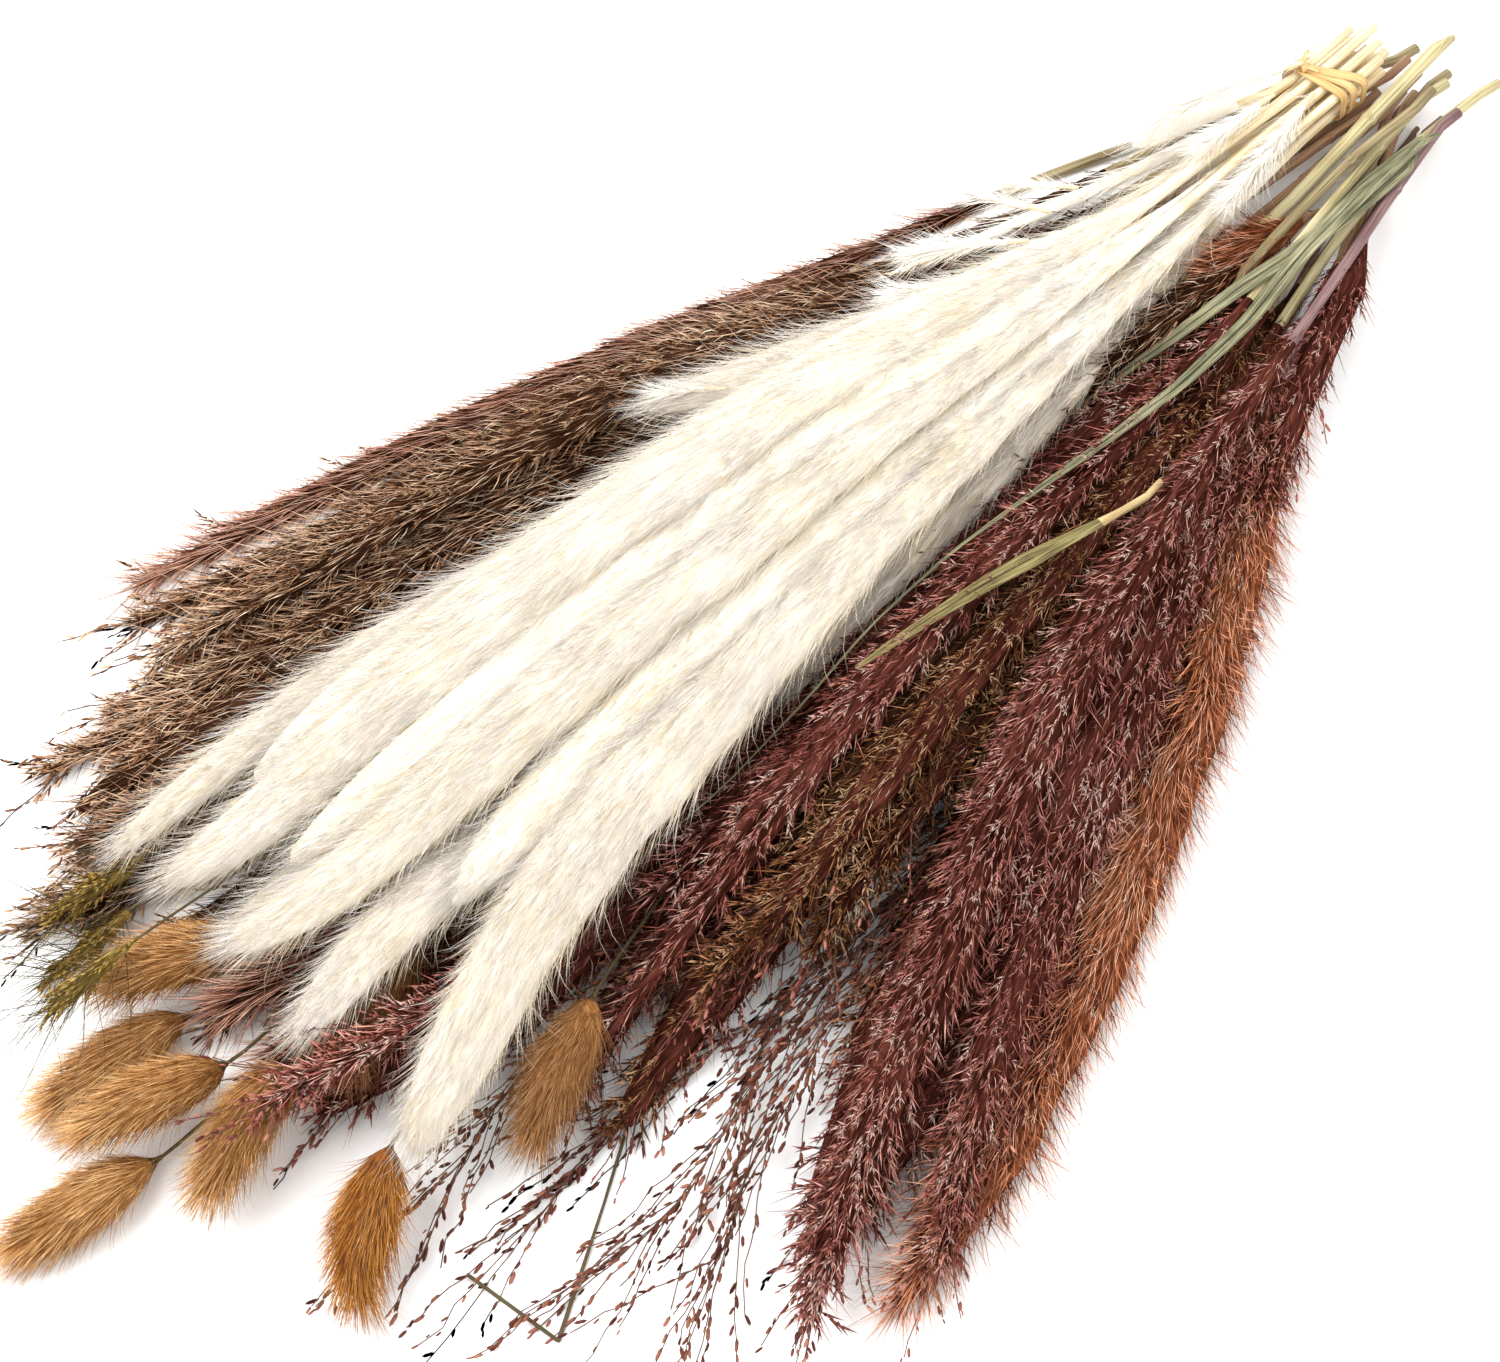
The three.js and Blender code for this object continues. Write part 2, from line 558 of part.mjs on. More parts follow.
// The panicle's skin: its axis, with a twig on every ring, to one side and the other in turn
function panicleGeometry(stalk, draw) {
  const { length, rings, bareRings } = stalk;
  const skin = new Skin(4);
  rings.forEach((s) => {
    const { a, b } = stalk.core(s, length);
    skin.ring([0, 1, 2, 3].map((side) => stalk.skin(s, (Math.PI / 2) * (side - 0.5), a, b)));
  });
  skin.closeStart();
  for (let ring = 0; ring < rings.length - 1; ring += 1) {
    const grown = ring >= bareRings && rings[ring] < length - PANICLE.lastTwig ? (ring % 2) * 2 : -1;
    [0, 1, 2, 3].forEach((side) => skin.patch(ring, side, side === grown ? twig(ring, side) : null));
  }
  skin.closeTip(stalk.skin(length, 0, 0, 0));
  return skin.geometry();

  function twig(ring, side) {
    const root = (rings[ring] + rings[ring + 1]) / 2;
    const outwards = side === 0 ? 1 : -1;
    const run = Math.min(PANICLE.twigLength * (1 - PANICLE.uneven * draw()), length - 2 - root);
    const lift = (draw() - 0.5) * (PANICLE.height - PANICLE.seed);
    const middle = (u) => {
      const [x, y, z] = stalk.skin(root + run * u, 0, outwards * twigAside(run * u), 0);
      return new THREE.Vector3(x, y, z + lift * u);
    };
    const belt = (u, radius) => {
      const ahead = middle(u + 0.02).sub(middle(u - 0.02)).normalize();
      const inwards = new THREE.Vector3(ahead.y, -ahead.x, 0).normalize().multiplyScalar(radius * outwards);
      const up = new THREE.Vector3(0, 0, radius * outwards);
      return [[-1, -1], [-1, 1], [1, 1], [1, -1]].map(([along, over]) => (
        middle(u).addScaledVector(inwards, along).addScaledVector(up, over).toArray()));
    };
    const seedShare = PANICLE.seedLength / run;
    const stops = [[PANICLE.firstBelt, PANICLE.twig]];
    if (ring % 3 === 0 && run > PANICLE.secondFrom) {
      [0, 1, 2].forEach((half) => {
        stops.push([PANICLE.secondSeed + (half * seedShare) / 2, half === 1 ? PANICLE.seed : PANICLE.twig]);
      });
    }
    stops.push([1 - seedShare, PANICLE.twig], [1 - seedShare / 2, PANICLE.seed]);
    return { rings: stops.map(([u, radius]) => belt(u, radius)), tip: middle(1).toArray() };
  }
}

// The straw that is folded over: two straight runs fused at the fold
function foldedGeometry() {
  const { radius, route } = FOLDED_STRAW;
  const height = radius * ON_A_SIDE;
  const at = ([x, y]) => new THREE.Vector3(x, y, height);
  const runs = [[route[0], route[1]], [route[1], route[2], route[3]]];
  return geometryOf(wasm.Manifold.union(
    runs.map((run) => solid(rod(run.map(at), run.map(() => radius), 6)))));
}

// One turn of the band: a rounded frame round the packed stems, leaning along them
function bandTurn(lean, lift) {
  const half = { y: STEM_PITCH * 1.5, z: ROW_PITCH };
  const frame = (radius) => {
    const path = new THREE.Shape();
    path.absarc(half.y, half.z, radius, 0, Math.PI / 2);
    path.absarc(-half.y, half.z, radius, Math.PI / 2, Math.PI);
    path.absarc(-half.y, -half.z, radius, Math.PI, 1.5 * Math.PI);
    path.absarc(half.y, -half.z, radius, 1.5 * Math.PI, 2 * Math.PI);
    return path;
  };
  const inner = CREAM_STEM + BAND.slack + lift;
  const outline = frame(inner + BAND.thickness);
  outline.holes.push(frame(inner));
  const turn = new THREE.ExtrudeGeometry(outline,
    { depth: BAND.width, bevelEnabled: false, curveSegments: BAND.corner });
  // The outline's x and y become the bunch's y and z, and its depth runs along the stems.
  const place = turn.getAttribute("position");
  for (let i = 0; i < place.count; i += 1) {
    const across = place.getX(i);
    const alongStem = place.getZ(i) - BAND.width / 2 + lean * (half.y - across);
    place.setXYZ(i, TIE.x - BAND.behind + alongStem, TIE.y + across, TIE.z + ROW_PITCH + place.getY(i));
  }
  return turn;
}

const ROUNDING = 1e4; // vertices closer than a tenth of a micron are one

// Merges the vertices of a geometry that repeats them for each face
function welded(geometry) {
  const place = geometry.getAttribute("position");
  const known = new Map();
  const points = [];
  const index = [];
  for (let i = 0; i < place.count; i += 1) {
    const point = [place.getX(i), place.getY(i), place.getZ(i)];
    const key = point.map((value) => Math.round(value * ROUNDING)).join();
    if (!known.has(key)) known.set(key, points.push(point) - 1);
    index.push(known.get(key));
  }
  const made = new THREE.BufferGeometry();
  made.setAttribute("position", new THREE.BufferAttribute(new Float32Array(points.flat()), 3));
  made.setIndex(index);
  return made;
}

function tieGeometry() {
  const [first, second] = BAND.leans;
  const over = bandTurn(second, BAND.thickness * BAND.over);
  return geometryOf(solid(welded(bandTurn(first, 0))).add(solid(welded(over))));
}

// Cuts off what the surface presses flat
const BELOW = 400;
function pressed(geometry) {
  geometry.computeBoundingBox();
  if (geometry.boundingBox.min.z >= 0) return geometry;
  const ground = new THREE.BoxGeometry(1200, 1200, BELOW).translate(0, 0, -BELOW / 2);
  return geometryOf(solid(geometry).subtract(solid(welded(ground.toNonIndexed()))));
}

const number = (i) => String(i + 1).padStart(2, "0");

// All stalks in the order in which they are laid
function allStalks() {
  const made = [];
  const add = (stalk, look) => {
    stalk.look = look;
    made.push(stalk);
  };
  const plumes = (list, stem, kind, picked) => list.forEach((entry, i) => {
    if (picked && !picked.includes(i)) return;
    add(plumeStalk(`${stem}_${number(i)}`, kind, entry), KINDS[kind]);
  });
  PANICLES.forEach((entry, i) => add(panicleStalk(`seed_panicle_${number(i)}`, entry), PANICLE));
  plumes(RUST, "rust_plume", "rust");
  plumes(MAUVE, "mauve_plume", "mauve", [0, 1, 2, 7]);
  plumes(BROWN, "brown_plume", "brown", [0, 1, 2, 6]);
  const headed = (list, head) => list.map(({ route, nestle }) => {
    const length = new THREE.CatmullRomCurve3(route.map(([x, y]) => new THREE.Vector3(x, y, 0)),
      false, "centripetal").getLength();
    return { route, nestle, fluff: length - head };
  });
  plumes(headed(BUNNY, BUNNY_HEAD), "bunny_tail", "bunny");
  plumes(headed(EARS, EAR_HEAD), "bristle_ear", "ear");
  plumes(MAUVE, "mauve_plume", "mauve", [6]);
  plumes(BROWN, "brown_plume", "brown", [3, 4, 5]);
  plumes(MAUVE, "mauve_plume", "mauve", [3, 4, 5]);
  BLADES.forEach((entry) => add(bladeStalk(entry), { colour: entry.colour, roughness: BLADE.roughness }));
  CREAM.forEach(({ seat: [row, across], cut, fluff, half, route }, i) => {
    const y = TIE.y + across * STEM_PITCH;
    const held = cut - TIE.x + HELD_LENGTH;
    const start = [[cut, y], [TIE.x, y], [TIE.x - HELD_LENGTH, y]];
    const stalk = plumeStalk(`cream_plume_${number(i)}`, "cream",
      { route: [...start, ...route], fluff, half, held });
    stalk.pins.set(0, TIE.z + row * ROW_PITCH);
    stalk.pins.set(1, TIE.z + row * ROW_PITCH);
    add(stalk, KINDS.cream);
  });
  return made;
}

function mesh(name, geometry, { colour, roughness }) {
  const skin = new THREE.MeshStandardMaterial({ color: colour, roughness, metalness: 0 });
  const made = new THREE.Mesh(geometry, skin);
  made.name = name;
  return made;
}

const bunch = new THREE.Group();
const laid = [];
allStalks().forEach((stalk, order) => {
  stalk.settle(laid);
  laid.push(stalk);
  const draw = draws(order + FIRST_SEED);
  const grown = stalk.look === PANICLE ? panicleGeometry(stalk, draw) : plumeGeometry(stalk, draw);
  bunch.add(mesh(stalk.name, pressed(grown), stalk.look));
});
bunch.add(mesh("folded_straw", foldedGeometry(), FOLDED_STRAW));
bunch.add(mesh("tie_band", tieGeometry(), BAND));

// The origin goes under the middle of the bunch.
const box = new THREE.Box3().setFromObject(bunch);
const middle = box.getCenter(new THREE.Vector3());
bunch.position.set(-middle.x, -middle.y, -box.min.z);
const part = new THREE.Group();
part.add(bunch);

export default part;
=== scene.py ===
"""A tied bunch of dried grasses lying on a pale floor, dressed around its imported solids.

Every stalk keeps the place and the size of its solid. The script reads each solid's middle line and
half-sizes, lofts a finer stem and plume core along it, and grows hairs, curls, spikelets, seeds and awns on
the core. Sizes are in millimetres unless a name or comment says otherwise, and MM turns them into metres.
"""

from __future__ import annotations

import json
import logging
import math
from dataclasses import dataclass, replace
from enum import Enum

import bmesh
import bpy
import numpy as np
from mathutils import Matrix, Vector

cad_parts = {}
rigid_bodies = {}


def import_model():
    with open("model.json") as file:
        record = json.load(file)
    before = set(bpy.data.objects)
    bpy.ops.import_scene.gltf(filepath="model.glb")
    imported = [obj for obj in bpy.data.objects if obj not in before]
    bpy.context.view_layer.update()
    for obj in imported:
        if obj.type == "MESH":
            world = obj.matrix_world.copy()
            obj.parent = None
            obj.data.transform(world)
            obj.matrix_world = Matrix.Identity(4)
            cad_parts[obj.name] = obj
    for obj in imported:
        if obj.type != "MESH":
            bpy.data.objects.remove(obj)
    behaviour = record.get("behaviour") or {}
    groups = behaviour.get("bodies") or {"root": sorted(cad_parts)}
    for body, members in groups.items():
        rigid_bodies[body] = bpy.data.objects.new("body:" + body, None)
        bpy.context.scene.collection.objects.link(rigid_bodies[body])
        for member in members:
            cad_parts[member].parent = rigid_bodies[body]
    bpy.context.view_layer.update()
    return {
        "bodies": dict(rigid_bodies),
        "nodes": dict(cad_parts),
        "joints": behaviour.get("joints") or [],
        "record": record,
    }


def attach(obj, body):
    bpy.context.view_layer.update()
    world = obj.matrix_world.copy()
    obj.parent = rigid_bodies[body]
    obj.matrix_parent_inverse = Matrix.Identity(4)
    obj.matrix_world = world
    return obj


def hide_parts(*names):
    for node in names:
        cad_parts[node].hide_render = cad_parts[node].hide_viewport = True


log = logging.getLogger("bouquet")

MM = 0.001
Point = tuple[float, float, float]
Colour = tuple[float, float, float]
Socket = bpy.types.NodeSocket
Thing = bpy.types.Object


def shown(thing: Thing) -> Thing:
    """Puts an object into the scene and returns it."""
    bpy.context.scene.collection.objects.link(thing)
    return thing


# Camera, light and floor


@dataclass(frozen=True)
class Studio:
    """The camera at the photograph's angle, soft light and a plain pale floor."""

    target: Point = (-30.02, -1.0, 30.0)
    elevation: float = 60.0
    distance: float = 1600.0
    mm_per_pixel: float = 0.29
    photo_width: int = 1500
    sensor: float = 36.0
    farthest: float = 20.0  # metres
    sky: float = 1.22
    floor_size: float = 8000.0
    floor_colour: Colour = (0.97, 0.97, 0.965)
    floor_roughness: float = 0.9

    LIGHTS = (  # the name, the place and size in metres, and the watts
        ("key", (-0.9, 0.9, 1.9), 1.6, 56.0),
        ("fill", (1.3, -1.1, 1.5), 1.8, 22.0),
    )

    def build(self) -> None:
        """Makes the camera, the lights, the sky and the floor."""
        self._camera()
        self._lights()
        self._floor()

    def _camera(self) -> None:
        """Places the camera on the line of sight that the photograph was taken along."""
        low = math.radians(self.elevation)
        ahead = Vector((math.sqrt(0.5), math.sqrt(0.5), 0.0))
        sight = ahead * math.cos(low) + Vector((0.0, 0.0, -math.sin(low)))
        data = bpy.data.cameras.new("camera")
        data.sensor_width = self.sensor
        data.lens = self.sensor * self.distance / (self.mm_per_pixel * self.photo_width)
        data.clip_end = self.farthest
        camera = shown(bpy.data.objects.new("camera", data))
        camera.location = (Vector(self.target) - sight * self.distance) * MM
        camera.rotation_euler = sight.to_track_quat("-Z", "Y").to_euler()
        bpy.context.scene.camera = camera

    def _lights(self) -> None:
        """Hangs two large soft lights and sets an even white sky."""
        for name, place, size, watts in self.LIGHTS:
            data = bpy.data.lights.new(name, "AREA")
            data.energy = watts
            data.size = size
            light = shown(bpy.data.objects.new(name, data))
            light.location = place
            light.rotation_euler = (-Vector(place)).to_track_quat("-Z", "Y").to_euler()
        world = bpy.data.worlds.new("studio")
        world.use_nodes = True
        background = world.node_tree.nodes["Background"]
        background.inputs["Color"].default_value = (1.0, 1.0, 1.0, 1.0)
        background.inputs["Strength"].default_value = self.sky
        bpy.context.scene.world = world
        bpy.context.scene.view_settings.view_transform = "Standard"

    def _floor(self) -> None:
        """Lays the floor under the bunch."""
        half = self.floor_size * MM / 2
        mesh = bpy.data.meshes.new("floor")
        corners = [(-half, -half, 0), (half, -half, 0), (half, half, 0), (-half, half, 0)]
        mesh.from_pydata(corners, [], [(0, 1, 2, 3)])
        material = bpy.data.materials.new("pale floor")
        material.use_nodes = True
        shader = material.node_tree.nodes["Principled BSDF"]
        shader.inputs["Base Color"].default_value = (*self.floor_colour, 1.0)
        shader.inputs["Roughness"].default_value = self.floor_roughness
        mesh.materials.append(material)
        shown(bpy.data.objects.new("floor", mesh))


# Node trees


class Graph:
    """A node tree under construction, with one short call for a node, its settings and its links."""

    def __init__(self, tree: bpy.types.NodeTree) -> None:
        """Keeps the tree that nodes are added to."""
        self.tree = tree

    def node(self, kind: str, inputs: dict | None = None, **settings: object) -> bpy.types.Node:
        """Adds a node.

        Args:
            kind: The node's type.
            inputs: A value or a socket for each named or numbered input.
            settings: The node's own properties.

        Returns:
            The new node.
        """
        node = self.tree.nodes.new(kind)
        for key, value in settings.items():
            setattr(node, key, value)
        for key, value in (inputs or {}).items():
            if isinstance(value, Socket):
                self.tree.links.new(value, node.inputs[key])
            else:
                node.inputs[key].default_value = value
        return node

    def math(self, operation: str, first: object, second: object = 0.0) -> Socket:
        """Returns two numbers worked out to one."""
        return self.node("ShaderNodeMath", {0: first, 1: second}, operation=operation).outputs[0]

    def vector(self, operation: str, first: object, second: object) -> Socket:
        """Returns two vectors worked out to one."""
        return self.node("ShaderNodeVectorMath", {0: first, 1: second}, operation=operation).outputs[0]

    def scaled(self, vector: object, factor: object) -> Socket:
        """Returns the vector times a number."""
        return self.node("ShaderNodeVectorMath", {0: vector, "Scale": factor}, operation="SCALE").outputs[0]

    def combined(self, **parts: object) -> Socket:
        """Returns a vector put together from its X, Y and Z."""
        return self.node("ShaderNodeCombineXYZ", parts).outputs[0]

    def noise(self, place: Socket, scale: float, detail: float, rough: float = 0.5) -> dict[str, Socket]:
        """Returns the results of a cloudy pattern by their names."""
        return self.node("ShaderNodeTexNoise", {
            "Vector": place, "Scale": scale, "Detail": detail, "Roughness": rough}).outputs

    def ramp(self, value: Socket, places: tuple[float, ...], *colours: Colour) -> Socket:
        """Returns a colour that changes with a value.

        Args:
            value: The value.
            places: The values at which it has its dark, its middle and its light colour.
            colours: These three colours.

        Returns:
            The colour.
        """
        ramp = self.node("ShaderNodeValToRGB", {"Fac": value})
        stops = ramp.color_ramp.elements
        for stop, place, colour in zip(stops, places[::2], colours[::2]):
            stop.position = place
            stop.color = (*colour, 1.0)
        stops.new(places[1]).color = (*colours[1], 1.0)
        return ramp.outputs["Color"]

    def mixed(self, factor: Socket, first: object, second: object) -> Socket:
        """Returns two colours or colour sockets mixed, by the share of the second."""
        both = [(*colour, 1.0) if isinstance(colour, tuple) else colour for colour in (first, second)]
        return self.node("ShaderNodeMix", {0: factor, 6: both[0], 7: both[1]}, data_type="RGBA").outputs[2]


class GrowthTree(Graph):
    """A Geometry Nodes tree with named inputs, of which each use sets its own values."""

    INPUTS: tuple[tuple[str, str, object], ...] = ()

    def __init__(self, name: str) -> None:
        """Makes the named tree's sockets and its two ends."""
        super().__init__(bpy.data.node_groups.new(name, "GeometryNodeTree"))
        face = self.tree.interface
        face.new_socket("Geometry", in_out="OUTPUT", socket_type="NodeSocketGeometry")
        face.new_socket("Geometry", in_out="INPUT", socket_type="NodeSocketGeometry")
        self.identifiers = {}
        for label, kind, value in self.INPUTS:
            socket = face.new_socket(label, in_out="INPUT", socket_type="NodeSocket" + kind)
            if value is not None:
                socket.default_value = value
            self.identifiers[label] = socket.identifier
        self.start = self.node("NodeGroupInput")
        self.end = self.node("NodeGroupOutput")

    def geo(self, kind: str, inputs: dict | None = None, **settings: object) -> Socket:
        """Adds a geometry node, named without that prefix, and returns its first result."""
        return self.node("GeometryNode" + kind, inputs, **settings).outputs[0]

    def given(self, label: str) -> Socket:
        """Returns the socket of a named input."""
        return self.start.outputs[label]

    def attribute(self, name: str, kind: str = "FLOAT") -> Socket:
        """Returns a named attribute of what is being worked on."""
        return self.geo("InputNamedAttribute", {"Name": name}, data_type=kind)

    def drawn(self, low: object, high: object, step: int) -> Socket:
        """Returns a random number.

        Args:
            low: The lowest value, a number or a socket.
            high: The highest value, a number or a socket.
            step: What is added to the tree's seed for this draw.

        Returns:
            The socket that gives the number.
        """
        seed = self.math("ADD", self.given("Seed"), float(step))
        return self.node("FunctionNodeRandomValue", {2: low, 3: high, "Seed": seed},
                         data_type="FLOAT").outputs[1]

    def drawn_vector(self, size: object, step: int) -> Socket:
        """Returns a random vector, each part from minus size to size."""
        seed = self.math("ADD", self.given("Seed"), float(step))
        whole = self.node("FunctionNodeRandomValue", {
            0: (-1.0, -1.0, -1.0), 1: (1.0, 1.0, 1.0), "Seed": seed}, data_type="FLOAT_VECTOR").outputs[0]
        return self.scaled(whole, size)

    def stored(self, geometry: Socket, name: str, value: object, domain: str = "POINT") -> Socket:
        """Returns the geometry with a number stored on it."""
        return self.geo("StoreNamedAttribute", {"Geometry": geometry, "Name": name, "Value": value},
                        data_type="FLOAT", domain=domain)

    def joined(self, parts: list[Socket]) -> Socket:
        """Returns several geometries as one."""
        join = self.node("GeometryNodeJoinGeometry")
        for part in reversed(parts):
            self.tree.links.new(part, join.inputs[0])
        return join.outputs[0]

    def faced(self, direction: Socket, beside: object) -> Socket:
        """Returns the rotation that points Z in a direction and X as close to another as it can be."""
        first = self.node("FunctionNodeAlignRotationToVector", {"Vector": direction}, axis="Z").outputs[0]
        return self.node("FunctionNodeAlignRotationToVector", {"Rotation": first, "Vector": beside},
                         axis="X", pivot_axis="Z").outputs[0]

    def place(self) -> Socket:
        """Returns the place of the point that is being worked on."""
        return self.geo("InputPosition")

    def apart(self) -> dict[str, Socket]:
        """Returns that place's X, Y and Z by their names."""
        return self.node("ShaderNodeSeparateXYZ", {0: self.place()}).outputs

    def times(self, label: str, factor: float) -> Socket:
        """Returns a named input times a number."""
        return self.math("MULTIPLY", self.given(label), factor)

    def upwards(self, label: str, factor: float) -> Socket:
        """Returns the vector that leads up by a share of a named input."""
        return self.combined(Z=self.times(label, factor))

    def finished(self, instances: Socket, finish: str) -> Socket:
        """Returns instances made real, smooth and in a finish that an input names."""
        real = self.geo("RealizeInstances", {"Geometry": instances})
        smooth = self.geo("SetShadeSmooth", {"Geometry": real})
        return self.geo("SetMaterial", {"Geometry": smooth, "Material": self.given(finish)})

    def close(self, *added: Socket) -> None:
        """Links the tree's result: what came in, and what was added to it."""
        self.tree.links.new(self.joined([self.given("Geometry"), *added]), self.end.inputs[0])

    def apply(self, piece: Thing, values: dict[str, object]) -> None:
        """Puts the tree on a piece as a modifier, with a value for each input that is named."""
        modifier = piece.modifiers.new(self.tree.name, "NODES")
        modifier.node_group = self.tree
        for label, value in values.items():
            modifier[self.identifiers[label]] = value


@dataclass(frozen=True)
class Prong:
    """One needle of a growth: its tilt and turn in degrees, its size and start as shares of the whole."""

    tilt: float = 0.0
    turn: float = 0.0
    length: float = 1.0
    width: float = 1.0
    start: float = 0.0


class NeedleTree(GrowthTree):
    """Grows needles, or small bundles of them, on a core wherever its attribute "hairy" is above zero."""

    INPUTS = (
        ("Density", "Float", 1000.0),
        ("Length", "Float", 0.02),
        ("Shortest", "Float", 0.5),
        ("Radius", "Float", 0.0002),
        ("Lean", "Float", 0.3),
        ("Lean Spread", "Float", 0.1),
        ("Scatter", "Float", 0.1),
        ("Wave", "Float", 0.2),
        ("Curl", "Float", 0.01),
        ("Seed", "Int", 1),
        ("Finish", "Material", None),
    )
    LEAN, SCATTER, SIZE, TONE = 1, 2, 3, 4  # each draw's own step from the seed
    SWIRL = 50.0  # how fine the waves are that neighbouring needles share
    SIDES = 3

    def __init__(self, name: str, prongs: tuple[Prong, ...], segments: int) -> None:
        """Builds the tree.

        Args:
            name: The tree's name.
            prongs: The needles of one growth.
            segments: Straight pieces along each needle, one for a straight needle.
        """
        super().__init__(name)
        spots = self.node("GeometryNodeDistributePointsOnFaces", {
            "Mesh": self.given("Geometry"), "Seed": self.given("Seed"),
            "Density": self.math("MULTIPLY", self.given("Density"), self.attribute("hairy"))},
            distribute_method="RANDOM").outputs
        least, most = (self.math(sign, self.given("Lean"), self.given("Lean Spread"))
                       for sign in ("SUBTRACT", "ADD"))
        lean = self.math("MULTIPLY", self.drawn(least, most, self.LEAN), self.attribute("open"))
        ahead = self.scaled(self.attribute("growth", "FLOAT_VECTOR"), self.math("COSINE", lean))
        outwards = self.scaled(spots["Normal"], self.math("SINE", lean))
        swirl = self.noise(self.place(), self.SWIRL, 2.0)["Color"]
        swirl = self.scaled(self.vector("SUBTRACT", swirl, (0.5, 0.5, 0.5)), self.given("Wave"))
        way = self.vector("ADD", ahead, outwards)
        way = self.vector("ADD", way, self.drawn_vector(self.given("Scatter"), self.SCATTER))
        way = self.vector("ADD", way, swirl)
        size = self.drawn(self.given("Shortest"), 1.0, self.SIZE)
        placed = self.geo("InstanceOnPoints", {
            "Points": spots["Points"], "Instance": self._growth(prongs, segments),
            "Rotation": self.faced(way, spots["Normal"]),
            "Scale": self.math("MULTIPLY", size, self.attribute("long"))})
        toned = self.stored(placed, "tone", self.drawn(0.0, 1.0, self.TONE), "INSTANCE")
        self.close(self.stored(self.finished(toned, "Finish"), "hairy", 0.0))

    def _growth(self, prongs: tuple[Prong, ...], segments: int) -> Socket:
        """Makes one growth.

        Args:
            prongs: Its needles.
            segments: Straight pieces along each.

        Returns:
            The growth's geometry.
        """
        made = []
        for prong in prongs:
            length = self.times("Length", prong.length)
            needle = self.geo("MeshCone", {
                "Vertices": self.SIDES, "Side Segments": segments, "Radius Top": 0.0,
                "Radius Bottom": self.times("Radius", prong.width), "Depth": length}, fill_type="NGON")
            share = self.math("DIVIDE", self.apart()["Z"], self.given("Length"))
            needle = self.stored(needle, "share", share)
            if segments > 1:
                needle = self._bent(needle, length)
            made.append(self.geo("Transform", {
                "Geometry": needle, "Translation": self.upwards("Length", prong.start),
                "Rotation": (0.0, math.radians(prong.tilt), math.radians(prong.turn))}))
        return self.joined(made)

    def _bent(self, needle: Socket, length: Socket) -> Socket:
        """Returns a needle along Z of a given length, bent towards minus X into an arc."""
        place = self.apart()
        curl = self.given("Curl")
        angle = self.math("MULTIPLY", curl, self.math("DIVIDE", place["Z"], length))
        radius = self.math("DIVIDE", length, curl)
        inner = self.math("ADD", radius, place["X"])
        aside = self.math("SUBTRACT", self.math("MULTIPLY", inner, self.math("COSINE", angle)), radius)
        ahead = self.math("MULTIPLY", inner, self.math("SINE", angle))
        return self.geo("SetPosition", {
            "Geometry": needle, "Position": self.combined(X=aside, Y=place["Y"], Z=ahead)})


